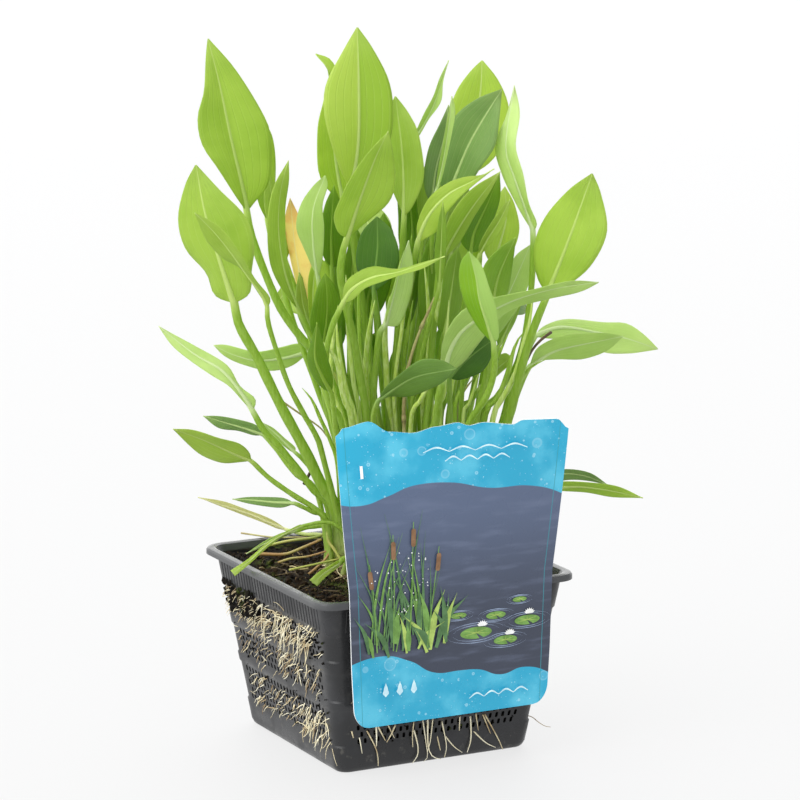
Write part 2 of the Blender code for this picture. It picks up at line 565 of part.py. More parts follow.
def right_leaves():
    crown = RIGHT_CROWN
    leaf("leaf_folded_young", stand(crown, 1, 10),
         [(19, 130), (20, 170), (20, 215)],
         [(22, 252), (25.5, 267), (28, 283), (29.5, 298)],
         [(23, 262), (25.5, 277), (28, 291)],
         [(25.5, 262), (28.5, 276), (31, 290)],
         (-1, 2, 3), (1, 3), 2.6)
    leaf("leaf_right_pale", stand(crown, 1, 2),
         [(45, 125), (53, 148), (57, 166), (61, 180), (64, 194), (66, 215)],
         [(66.5, 236), (63, 247), (58, 261), (54, 275), (57.5, 303)],
         [(63, 241), (58, 250), (52, 262), (49, 275), (54, 289)],
         [(68, 240), (64.5, 249), (62, 262), (58, 275), (60, 290)],
         (2, -4, -12), (-4, 9), 3.6, "pale")
    leaf("leaf_right_big", stand(crown, 2, 3),
         [(50, 130), (57, 154), (62, 175), (67, 192)],
         [(73, 207), (77, 217), (85, 239), (93, 263)],
         [(68, 216), (67, 229), (72, 243), (82, 255)],
         [(80, 210), (92, 220), (100, 236), (97, 253)],
         (22, 28, 32), (-11, 10), 4.2)
    leaf("leaf_right_arch", stand(crown, 2, 7),
         [(20, 130), (23, 151), (24, 160)],
         [(26, 169), (29, 182), (37, 193), (56, 204), (76, 210), (97, 213)],
         [(24, 181), (30, 196), (44, 205), (60, 209), (78, 214), (90, 214)],
         [(31, 176), (38, 186), (49, 196), (64, 203.5), (80, 206.5), (90, 208)],
         (36, 44, 46), (4, -3), 4.2)
    leaf("leaf_arched_pale", stand(MIDDLE_CROWN, 2, 4),
         [(5, 140), (8, 180), (11, 212)],
         [(14, 231), (19, 243), (28, 253), (39, 259), (49, 265)],
         [(14, 240), (19, 251), (27, 258), (35, 261), (43, 262)],
         [(20, 238), (25, 246), (33, 251), (43, 258)],
         (8, 12, 14), (-2, 4), 3.4, "pale")
    leaf("leaf_edge_pale", stand(crown, 1, 8),
         [(18, 125), (20, 165), (21, 187)],
         [(23, 204), (27, 216), (34, 232), (42, 249), (50, 266)],
         [(24, 211), (27, 226), (31, 243), (43, 260)],
         [(25, 208), (31, 221), (38, 237), (46, 254)],
         (14, 18, 18), (7, 0), 3.6, "pale")
    leaf("leaf_mid_dark", stand(crown, 0, 12),
         [(28, 140), (33, 180), (36, 210)],
         [(38, 226), (42, 238), (47, 252), (52, 264)],
         [(34, 232), (37, 243), (45, 258)],
         [(42, 229), (46, 238), (51, 252)],
         (6, 2, -4), (6, -2), 3.2, "deep")
    leaf("leaf_mid_narrow", stand(crown, 1, 4),
         [(34, 150), (37, 190), (39, 212)],
         [(42, 225), (46, 233), (51, 241), (56, 251)],
         [(42, 230), (46, 238), (52, 247)],
         [(45, 228), (52, 237), (55, 245)],
         (12, 14, 14), (2, 2), 2.6)
    leaf("leaf_back_lime", stand(crown, 2, 1),
         [(40, 140), (46, 185)],
         [(49, 212), (52, 228), (54, 243), (53, 258)],
         [(45, 224), (47, 238), (50, 251)],
         [(56, 220), (60, 234), (58, 247)],
         (-36, -44, -54), (8, -3), 3.2)
    leaf("leaf_mid_right", stand(crown, 2, 4),
         [(40, 140), (47, 178)],
         [(50, 195), (51, 207), (54, 220), (58, 233.5)],
         [(46, 205), (46, 217), (51, 227)],
         [(54.5, 206), (57, 217), (58, 226)],
         (24, 28, 30), (7, -4), 3.2, "deep")
    leaf("leaf_front_bright", stand(crown, 2, 5),
         [(33, 130), (38, 148), (45, 159), (49, 171)],
         [(49.5, 184), (46, 196), (43, 208), (41, 218), (38, 228.5)],
         [(45, 190), (38, 202), (33, 212), (34, 223)],
         [(50, 190), (49, 203), (45, 215), (42, 224)],
         (58, 70, 76), (-9, 6), 3.4, "pale")
    leaf("leaf_right_shade", stand(crown, 2, 6),
         [(28, 130), (29, 150)],
         [(30, 168), (36, 175), (43, 181), (49, 187)],
         [(31, 175), (37, 184), (45, 188)],
         [(36, 169), (43, 172), (48, 179)],
         (30, 32, 34), (2, -2), 3.0, "deep")
    leaf("leaf_right_far", stand(crown, 2, 2),
         [(46, 125), (56, 155), (61, 173)],
         [(67, 188), (79, 192), (94, 190), (109, 187), (124, 182)],
         [(72, 193), (82, 196), (98, 194.5), (109, 194), (117, 189)],
         [(73, 187), (86, 186), (99, 180.5), (110, 180), (118, 181)],
         (-20, -30, -40), (-3, 3), 3.6)
    leaf("leaf_right_low", stand(crown, 3, 3),
         [(51, 118), (56, 148), (61, 165)],
         [(65, 174), (76, 181), (90, 184.5), (108, 188)],
         [(69, 183), (80, 188), (92, 189.5), (101, 189.5)],
         [(69, 176.5), (79, 177.5), (90, 177.5), (100, 181)],
         (-8, -14, -22), (5, -4), 3.4, "blue")
    leaf("leaf_right_hidden", stand(crown, 3, 2),
         [(46, 98), (58, 112)],
         [(68, 120), (80, 124), (91, 123), (102, 118.5)],
         [(72, 124), (82, 126), (93, 124.5)],
         [(73, 119.5), (83, 121), (93, 120.5)],
         (-10, -16, -22), (2, -2), 2.8)
    leaf("leaf_right_lowest", stand(crown, 3, 4),
         [(50, 92), (62, 106)],
         [(73, 117), (88, 118), (103, 116), (118, 112.5)],
         [(78, 120), (92, 120), (106, 118)],
         [(79, 116), (92, 115), (104, 113)],
         (10, 8, 4), (2, -2), 2.8)
    leaf("leaf_back_right", stand(crown, 2, 12),
         [(34, 130), (40, 165), (44, 190)],
         [(48, 203), (54, 207), (59, 206), (64, 200)],
         [(47, 209), (54, 214), (61, 208)],
         [(51, 199), (57, 198), (62, 198)],
         (-50, -70, -88), (2, 2), 3.4, "blue")


def make_old_stalk(material):
    """The dead flower stalk between the leaves, a thin round rod."""
    foot = stand(MIDDLE_CROWN, 2, 6)
    readings = [(8.5, 120), (8, 144), (8, 158), (10, 174), (15, 190), (22, 207)]
    line = [Vector(reading(*foot))] + [Vector(p) for p in readings]
    shares = [k / 7 for k in range(8)]
    curve = bpy.data.curves.new("old_stalk", "CURVE")
    curve.dimensions = "3D"
    curve.bevel_depth = 1.2 * MM
    curve.bevel_resolution = 1
    curve.use_fill_caps = True
    spline = curve.splines.new("POLY")
    spline.points.add(7)
    for point, share, place in zip(spline.points, shares, smooth(line, shares)[0]):
        spot = seen(place.x, place.y, mix(foot[1], 20.0, share)) * MM
        point.co = (spot.x, spot.y, spot.z, 1)
    curve.materials.append(material)
    rod = bpy.data.objects.new("old_stalk", curve)
    collection.objects.link(rod)


# Card

def card_sheet():
    """Corners of the card: rows from foot to wavy top, each from -X to +X."""
    waves = ((-0.5, 156.3), (-0.465, 160.0), (-0.36, 162.3), (-0.27, 157.3), (-0.17, 156.3),
             (-0.07, 158.6), (0.02, 160.0), (0.07, 158.4), (0.13, 159.5), (0.26, 158.0),
             (0.30, 159.8), (0.45, 159.6), (0.5, 155.0))
    heights = (0.0, 0.02, 0.07, 0.2, 0.45, 0.62, 0.8, 1.0)
    rows = []
    for share in heights:
        row = []
        for place, top in waves:
            z = mix(CARD_FOOT, top, share)
            if share < 0.2:
                width = mix(CARD_FOOT_WIDTH, CARD_MIDDLE_WIDTH, share / 0.2)
            else:
                width = mix(CARD_MIDDLE_WIDTH, CARD_TOP_WIDTH, (share - 0.2) / 0.8)
            if share < 0.07:
                width -= 2 * mix(7.0, 0.0, math.sqrt(share / 0.07))
            twist = math.radians(CARD_TWIST) * max(0.0, (z - BASKET_HEIGHT - 4) / (top - BASKET_HEIGHT - 4))
            run = place * width
            row.append(Vector((CARD_MIDDLE_X + run * math.cos(twist), CARD_Y - run * math.sin(twist), z)))
        rows.append(row)
    return rows


def make_card(material):
    """The card with its tongue, which goes over the rim and stands in the basket."""
    bm = bmesh.new()
    rows = card_sheet()
    back = Vector((0, CARD_THICKNESS, 0))
    fronts = [[bm.verts.new(p * MM) for p in row] for row in rows]
    backs = [[bm.verts.new((p + back) * MM) for p in row] for row in rows]
    count = len(rows[0])
    for a in range(len(rows) - 1):
        for b in range(count - 1):
            bm.faces.new((fronts[a][b], fronts[a][b + 1], fronts[a + 1][b + 1], fronts[a + 1][b]))
            bm.faces.new((backs[a][b], backs[a + 1][b], backs[a + 1][b + 1], backs[a][b + 1]))
    edge = [(a, 0) for a in range(len(rows))] + [(len(rows) - 1, b) for b in range(1, count)]
    edge += [(a, count - 1) for a in range(len(rows) - 2, -1, -1)] + [(0, b) for b in range(count - 2, 0, -1)]
    for (a, b), (c, d) in zip(edge, edge[1:] + edge[:1]):
        bm.faces.new((fronts[a][b], backs[a][b], backs[c][d], fronts[c][d]))
    card = solid_from(bm, "label_card", material)

    tongue = bmesh.new()
    inner = WALL_TOP_SIDE / 2 - WALL
    centre = [(CARD_Y + 0.3, 93.0), (CARD_Y + 1.2, 91.0), (CARD_Y + 3.0, BASKET_HEIGHT + 3.0),
              (-inner - 0.2, BASKET_HEIGHT + 2.0), (-inner + 2.6, BASKET_HEIGHT - 1.0), (-inner + 4.2, SOIL_TOP + 0.9)]
    loops = []
    for k, (y, z) in enumerate(centre):
        before, after = centre[max(k - 1, 0)], centre[min(k + 1, len(centre) - 1)]
        along = Vector((0, after[0] - before[0], after[1] - before[1])).normalized()
        out = Vector((0, along.z, -along.y)) * 0.35
        half = TONGUE_WIDTH / 2 - (2.5 if k == len(centre) - 1 else 0.0)
        middle = Vector((CARD_MIDDLE_X, y, z))
        wide = Vector((half, 0, 0))
        corners = (middle - wide + out, middle + wide + out, middle + wide - out, middle - wide - out)
        loops.append([tongue.verts.new(c * MM) for c in corners])
    for lower, upper in zip(loops, loops[1:]):
        bridge(tongue, lower, upper)
    tongue.faces.new(loops[0])
    tongue.faces.new(loops[-1])
    strip = solid_from(tongue, "tongue_strip", material)
    strip.hide_render = True
    strip.display_type = "WIRE"
    collection.objects.unlink(strip)
    tools.objects.link(strip)
    join = card.modifiers.new("tongue", "BOOLEAN")
    join.operation = "UNION"
    join.object = strip


clear_scene()
collection = bpy.data.collections.new("water_plantain")
tools = bpy.data.collections.new("joined_shapes")
bpy.context.scene.collection.children.link(collection)
bpy.context.scene.collection.children.link(tools)
greens = {name: make_material("leaf_" + name, colour, 0.45) for name, colour in COLOURS.items()}

make_basket(make_material("black_plastic", (0.035, 0.037, 0.04, 1), 0.45))
make_soil(make_material("soil", (0.03, 0.02, 0.013, 1), 0.95))
corm = make_material("corm", (0.45, 0.42, 0.13, 1), 0.6)
make_crown("crown_left", LEFT_CROWN, corm)
make_crown("crown_middle", MIDDLE_CROWN, corm)
make_crown("crown_right", RIGHT_CROWN, corm)
left_leaves()
middle_leaves()
right_leaves()
make_old_stalk(make_material("old_stalk", (0.45, 0.36, 0.16, 1), 0.7))
make_card(make_material("printed_card", (0.05, 0.45, 0.70, 1), 0.35))
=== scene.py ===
# Potted water plantain: a square pond basket of soil with three crowns of stalked
# leaves, and a picture card hooked over the rim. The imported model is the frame, and
# every piece below is rebuilt in its place. Sizes are in millimetres, and times mm where Blender takes them.
import math
import random

import bmesh
import bpy
from mathutils import Matrix, Vector, noise


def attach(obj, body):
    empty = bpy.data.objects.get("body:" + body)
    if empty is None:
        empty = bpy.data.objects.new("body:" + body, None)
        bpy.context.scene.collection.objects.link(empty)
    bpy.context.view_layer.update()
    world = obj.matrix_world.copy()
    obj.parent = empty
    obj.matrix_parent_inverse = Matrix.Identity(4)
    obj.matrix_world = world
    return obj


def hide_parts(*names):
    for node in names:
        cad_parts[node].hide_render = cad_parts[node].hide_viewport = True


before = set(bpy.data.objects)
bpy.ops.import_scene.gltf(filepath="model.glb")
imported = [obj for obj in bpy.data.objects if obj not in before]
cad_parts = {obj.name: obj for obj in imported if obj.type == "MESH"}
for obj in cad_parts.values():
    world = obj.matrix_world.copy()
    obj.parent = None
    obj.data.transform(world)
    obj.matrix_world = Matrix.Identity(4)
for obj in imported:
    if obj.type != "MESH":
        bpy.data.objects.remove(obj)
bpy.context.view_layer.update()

mm = 0.001
bpy.ops.object.select_all(action="DESELECT")
print("frame loaded")


# The viewer: places are read as (right, up) on the upright plane through the pot's middle

viewer = {
    "turn": 27.28,                    # degrees round from the card's side
    "tilt": 11.26,                    # degrees down
    "eye": (6.1, 1609.0, 478.8),      # right, toward, up
    "place": (-732.1, -1433.0, 478.8),
    "lens": 161.64, "film": 36.0, "pixels": 800,
}
turn = math.radians(viewer["turn"])


def mix(a, b, share):
    return a + (b - a) * share


def inAxes(right, toward, up):
    x = right * math.cos(turn) - toward * math.sin(turn)
    y = -right * math.sin(turn) - toward * math.cos(turn)
    return Vector((x, y, up))


def seen(right, up, toward):
    # a place read on that plane, slid along its line of sight until it is as far toward the viewer as it should be
    slide = toward / viewer["eye"][1]
    return inAxes(mix(right, viewer["eye"][0], slide), toward, mix(up, viewer["eye"][2], slide))


def reading(right, toward, up):
    # the other way: where a place shows on that plane
    slide = toward / viewer["eye"][1]
    flatRight = (right - viewer["eye"][0] * slide) / (1 - slide)
    return Vector((flatRight, (up - viewer["eye"][2] * slide) / (1 - slide)))


def fromPhoto(*pixels):
    # readings in the photo's pixels, as places on that plane
    tilt, focal = math.radians(viewer["tilt"]), viewer["lens"] / viewer["film"] * viewer["pixels"]
    right, toward, up = viewer["eye"]
    places = []
    for x, y in pixels:
        aside, rise = (x - viewer["pixels"] / 2) / focal, (viewer["pixels"] / 2 - y) / focal
        reach = toward / (math.cos(tilt) + rise * math.sin(tilt))
        climb = reach * (rise * math.cos(tilt) - math.sin(tilt))
        places.append((right + aside * reach, up + climb))
    return places


def smoothLine(points, shares):
    # places on a smooth curve through the points, at shares of its length
    ends = [points[0] * 2 - points[1]] + list(points) + [points[-1] * 2 - points[-2]]
    walk = []
    for a, b, c, d in zip(ends, ends[1:], ends[2:], ends[3:]):
        for step in range(12):
            t = step / 12
            walk.append(0.5 * (2 * b + (c - a) * t + (2 * a - 5 * b + 4 * c - d) * t * t
                               + (3 * b - a - 3 * c + d) * t ** 3))
    walk.append(points[-1])
    run = [0.0]
    for a, b in zip(walk, walk[1:]):
        run.append(run[-1] + (b - a).length)
    places, k = [], 0
    for share in shares:
        goal = share * run[-1]
        while k < len(run) - 2 and run[k + 1] < goal:
            k += 1
        step = run[k + 1] - run[k]
        places.append(walk[k].lerp(walk[k + 1], (goal - run[k]) / step if step else 0.0))
    return places


# Small helpers for material nodes

def newMaterial(name, roughness):
    material = bpy.data.materials.new(name)
    material.use_nodes = True
    shader = material.node_tree.nodes["Principled BSDF"]
    shader.inputs["Roughness"].default_value = roughness
    return material, material.node_tree, shader


def addNode(tree, kind, values=(), **settings):
    new = tree.nodes.new("ShaderNode" + kind)
    for key, value in settings.items():
        setattr(new, key, value)
    for key, value in dict(values).items():
        new.inputs[key].default_value = value
    return new


def sumNode(tree, operation, first, second=None):
    # a Math node on two sockets or numbers
    new = addNode(tree, "Math", operation=operation)
    for socket, value in zip(new.inputs, (first, second)):
        if value is None:
            continue
        if isinstance(value, (int, float)):
            socket.default_value = value
        else:
            tree.links.new(value, socket)
    return new.outputs[0]


def between(tree, value, low, high, start=0.0, end=1.0):
    # smooth step of a socket from start to end as it goes from low to high
    new = addNode(tree, "MapRange", interpolation_type="SMOOTHSTEP")
    tree.links.new(value, new.inputs["Value"])
    for key, number in (("From Min", low), ("From Max", high), ("To Min", start), ("To Max", end)):
        new.inputs[key].default_value = number
    return new.outputs["Result"]


def blendColours(tree, factor, first, second, kind="MIX"):
    new = addNode(tree, "Mix", data_type="RGBA", blend_type=kind)
    for socket, value in ((new.inputs[0], factor), (new.inputs[6], first), (new.inputs[7], second)):
        if isinstance(value, (int, float)):
            socket.default_value = value
        elif isinstance(value, tuple):
            socket.default_value = value + (1.0,)
        else:
            tree.links.new(value, socket)
    return new.outputs[2]


def noiseOn(tree, scale, detail=3.0, stretch=(1, 1, 1), roughness=0.55):
    # noise in the object's own coordinates
    place = addNode(tree, "TexCoord")
    mapping = addNode(tree, "Mapping", {"Scale": stretch})
    texture = addNode(tree, "TexNoise", {"Scale": scale, "Detail": detail, "Roughness": roughness})
    tree.links.new(place.outputs["Object"], mapping.inputs["Vector"])
    tree.links.new(mapping.outputs["Vector"], texture.inputs["Vector"])
    return texture.outputs["Fac"]


def addBump(tree, shader, height, distance, strength=1.0):
    bump = addNode(tree, "Bump", {"Strength": strength, "Distance": distance})
    tree.links.new(height, bump.inputs["Height"])
    tree.links.new(bump.outputs["Normal"], shader.inputs["Normal"])
    return bump.outputs["Normal"]


def heightOf(tree):
    # height over the ground, in metres
    split = addNode(tree, "SeparateXYZ")
    tree.links.new(addNode(tree, "TexCoord").outputs["Object"], split.inputs[0])
    return split.outputs["Z"]


# Small helpers for meshes

selectAll, selectNone = (("select_all", {"action": action}) for action in ("SELECT", "DESELECT"))


def editMesh(*steps):
    # mesh operators on the active object in edit mode, each a name and its settings
    bpy.ops.object.mode_set(mode="EDIT")
    for name, options in steps:
        getattr(bpy.ops.mesh, name)(**options)
    bpy.ops.object.mode_set(mode="OBJECT")


def thicken(piece, thickness, offset, **options):
    # turns a sheet into a solid; options are further Solidify settings
    bpy.context.view_layer.objects.active = piece
    thick = piece.modifiers.new("thickness", "SOLIDIFY")
    thick.thickness, thick.offset = thickness * mm, offset
    for key, value in options.items():
        setattr(thick, key, value)
    bpy.ops.object.modifier_apply(modifier="thickness")


def pieceFrom(bm, name, *materials):
    # a finished mesh as a smooth-shaded object that rides on the pot
    mesh = bpy.data.meshes.new(name)
    bm.to_mesh(mesh)
    bm.free()
    for material in materials:
        mesh.materials.append(material)
    for face in mesh.polygons:
        face.use_smooth = True
    piece = bpy.data.objects.new(name, mesh)
    bpy.context.scene.collection.objects.link(piece)
    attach(piece, "root")
    return piece


def closeRings(bm, loops, slot=0):
    # skin over a row of equal rings, with both ends closed
    count = len(loops[0])
    faces = []
    for lower, upper in zip(loops, loops[1:]):
        for i in range(count):
            j = (i + 1) % count
            faces.append(bm.faces.new((lower[i], lower[j], upper[j], upper[i])))
    faces.append(bm.faces.new(loops[0][::-1]))
    faces.append(bm.faces.new(loops[-1]))
    for face in faces:
        face.material_index = slot


def addStrand(bm, points, radius, sides=5, tip=0.45, slot=0, young=0.0):
    # a thin round strand through the points, tapering to its tip; young is the share of
    # its length that is the point of a rolled young leaf
    ahead = (points[1] - points[0]).normalized()
    side = ahead.orthogonal().normalized()
    loops = []
    for k, point in enumerate(points):
        ahead = (points[min(k + 1, len(points) - 1)] - points[max(k - 1, 0)]).normalized()
        side = (side - ahead * side.dot(ahead)).normalized()
        front = ahead.cross(side)
        share = k / (len(points) - 1)
        size = radius * mix(1.0, tip, share)
        if young:
            size = radius * (1 - 0.3 * share) * min(1.0, (1 - share) / young + 0.05) ** 0.7
        ring = []
        for step in range(sides):
            angle = 2 * math.pi * step / sides
            ring.append(bm.verts.new((point + (side * math.cos(angle) + front * math.sin(angle)) * size) * mm))
        loops.append(ring)
    closeRings(bm, loops, slot)


def evenLine(points, count):
    # evenly spaced places on the smooth line through the points
    return smoothLine([Vector(p) for p in points], [k / (count - 1) for k in range(count)])


# Camera, floor and light

studio = {
    "floorColour": (0.075, 0.0755, 0.076),
    "floorGlow": 0.762,
    # the sky is bright behind and to the left and dim in front, and the camera itself sees paper
    "back": (1.0, 1.0, 1.0), "front": (0.43, 0.44, 0.46), "brightSide": (-0.55, 0.80, 0.25), "skyStrength": 1.65,
    "paper": (0.955, 0.962, 0.958),
    "sun": {"from": (-0.75, -0.10, 1.0), "angle": 45.0, "power": 1.25},
    "rim": {"from": (0.35, 0.75, 0.9), "angle": 60.0, "power": 0.60},
}

bpy.ops.object.camera_add(location=Vector(viewer["place"]) * mm,
                          rotation=(math.radians(90 - viewer["tilt"]), 0, -turn))
camera = bpy.context.object
camera.name = "viewCamera"
camera.data.lens = viewer["lens"]
camera.data.sensor_width = viewer["film"]
bpy.context.scene.camera = camera

bpy.ops.mesh.primitive_plane_add(size=30, location=(0, 0, 0))
floor = bpy.context.object
floor.name = "studioFloor"
floorMaterial, tree, shader = newMaterial("paleFloor", 0.75)
shader.inputs["Base Color"].default_value = studio["floorColour"] + (1,)
shader.inputs["Specular IOR Level"].default_value = 0.2
shader.inputs["Emission Color"].default_value = (1, 1, 1, 1)
shader.inputs["Emission Strength"].default_value = studio["floorGlow"]
floor.data.materials.append(floorMaterial)

for lampName in ("sun", "rim"):
    light = studio[lampName]
    bpy.ops.object.light_add(type="SUN", location=(0, 0, 2))
    lamp = bpy.context.object
    lamp.name = lampName + "Light"
    lamp.data.energy = light["power"]
    lamp.data.angle = math.radians(light["angle"])
    lamp.rotation_euler = Vector(light["from"]).to_track_quat("Z", "Y").to_euler()

sky = bpy.data.worlds.new("studioSky")
sky.use_nodes = True
bpy.context.scene.world = sky
tree = sky.node_tree
direction = addNode(tree, "TexCoord")
toward = addNode(tree, "VectorMath", operation="DOT_PRODUCT")
toward.inputs[1].default_value = studio["brightSide"]
tree.links.new(direction.outputs["Generated"], toward.inputs[0])
skyColour = blendColours(tree, between(tree, toward.outputs["Value"], -0.75, 0.45), studio["front"], studio["back"])
tree.links.new(skyColour, tree.nodes["Background"].inputs["Color"])
tree.nodes["Background"].inputs["Strength"].default_value = studio["skyStrength"]
plain = addNode(tree, "Background", {"Color": studio["paper"] + (1.0,)})
choice = addNode(tree, "MixShader")
tree.links.new(addNode(tree, "LightPath").outputs["Is Camera Ray"], choice.inputs["Fac"])
tree.links.new(tree.nodes["Background"].outputs[0], choice.inputs[1])
tree.links.new(plain.outputs[0], choice.inputs[2])
tree.links.new(choice.outputs[0], tree.nodes["World Output"].inputs["Surface"])
bpy.context.scene.view_settings.view_transform = "Standard"
print("studio set")


# Leaves

# glow is the share of light that comes through, right the colour of a folded blade's right half
# (on crest a painted shade, that half darker as the light falls), and stalk how far the stalk takes the rib's
# colour
leafLooks = {
    "fresh": {"blade": (0.45, 0.62, 0.095), "dark": (0.34, 0.52, 0.050), "rib": (0.58, 0.74, 0.20), "glow": 0.42},
    "lime": {"blade": (0.51, 0.67, 0.105), "dark": (0.40, 0.58, 0.055), "rib": (0.62, 0.77, 0.24), "glow": 0.46},
    "pale": {"blade": (0.52, 0.70, 0.22), "dark": (0.42, 0.61, 0.14), "rib": (0.64, 0.79, 0.36), "glow": 0.40},
    "milky": {"blade": (0.64, 0.80, 0.36), "dark": (0.55, 0.73, 0.26), "rib": (0.72, 0.84, 0.46), "glow": 0.42},
    "olive": {"blade": (0.40, 0.56, 0.10), "dark": (0.28, 0.45, 0.050), "rib": (0.50, 0.66, 0.18), "glow": 0.36},
    "dusk": {"blade": (0.165, 0.32, 0.045), "dark": (0.12, 0.25, 0.028), "rib": (0.27, 0.44, 0.10), "glow": 0.28},
    # deep is a darker copy of the leaf green, as shade below is: painted shade for leaves in the shade of others
    "deep": {"blade": (0.085, 0.22, 0.018), "dark": (0.055, 0.16, 0.012), "rib": (0.19, 0.35, 0.06), "glow": 0.26,
             "stalk": 0.45},
    "shade": {"blade": (0.21, 0.40, 0.014), "dark": (0.13, 0.31, 0.008), "rib": (0.31, 0.50, 0.05), "glow": 0.34},
    "blue": {"blade": (0.215, 0.375, 0.085), "dark": (0.155, 0.30, 0.058), "rib": (0.47, 0.62, 0.22), "glow": 0.30},
    "mid": {"blade": (0.33, 0.53, 0.055), "dark": (0.24, 0.44, 0.030), "rib": (0.46, 0.64, 0.13), "glow": 0.40},
    # crest: its right half is painted shade, darker where the fold turns from the light
    "crest": {"blade": (0.55, 0.70, 0.14), "dark": (0.48, 0.64, 0.095), "rib": (0.62, 0.77, 0.24), "glow": 0.42,
              "right": (0.37, 0.55, 0.050)},
    "split": {"blade": (0.34, 0.57, 0.035), "dark": (0.26, 0.50, 0.018), "rib": (0.56, 0.76, 0.22), "glow": 0.44,
              "right": (0.49, 0.68, 0.22)},
    "strap": {"blade": (0.52, 0.70, 0.14), "dark": (0.56, 0.72, 0.10), "rib": (0.66, 0.80, 0.30), "glow": 0.42},
    "yellow": {"blade": (0.86, 0.76, 0.32), "dark": (0.82, 0.66, 0.26), "rib": (0.84, 0.78, 0.36), "glow": 0.45,
               "spots": (0.74, 0.42, 0.12), "spotScale": 80.0, "spotFrom": 0.50, "spotShare": 0.4, "stalk": 0.45},
    "spotted": {"blade": (0.40, 0.56, 0.075), "dark": (0.32, 0.49, 0.050), "rib": (0.50, 0.64, 0.16), "glow": 0.36,
                "spots": (0.28, 0.26, 0.05), "spotScale": 260.0, "spotFrom": 0.66, "spotShare": 0.5},
    "dry": {"blade": (0.66, 0.66, 0.28), "dark": (0.54, 0.56, 0.22), "rib": (0.74, 0.74, 0.38), "glow": 0.32,
            "stalk": 0.45},
}
stalkLook = {
    "top": (0.33, 0.51, 0.055), "streak": (0.45, 0.63, 0.13), "foot": (0.60, 0.68, 0.28),
    "blush": (0.38, 0.18, 0.06), "specular": 0.38, "streakScale": 900.0, "streakStretch": (1, 1, 0.03),
}
veins = {"count": 4.5, "width": 0.11, "relief": 0.00015, "across": 62.0, "show": 0.22}


def streaksOn(tree):
    # fine stripes along a stalk
    noiseHere = noiseOn(tree, stalkLook["streakScale"], 2.0, stretch=stalkLook["streakStretch"])
    return between(tree, noiseHere, 0.40, 0.62)


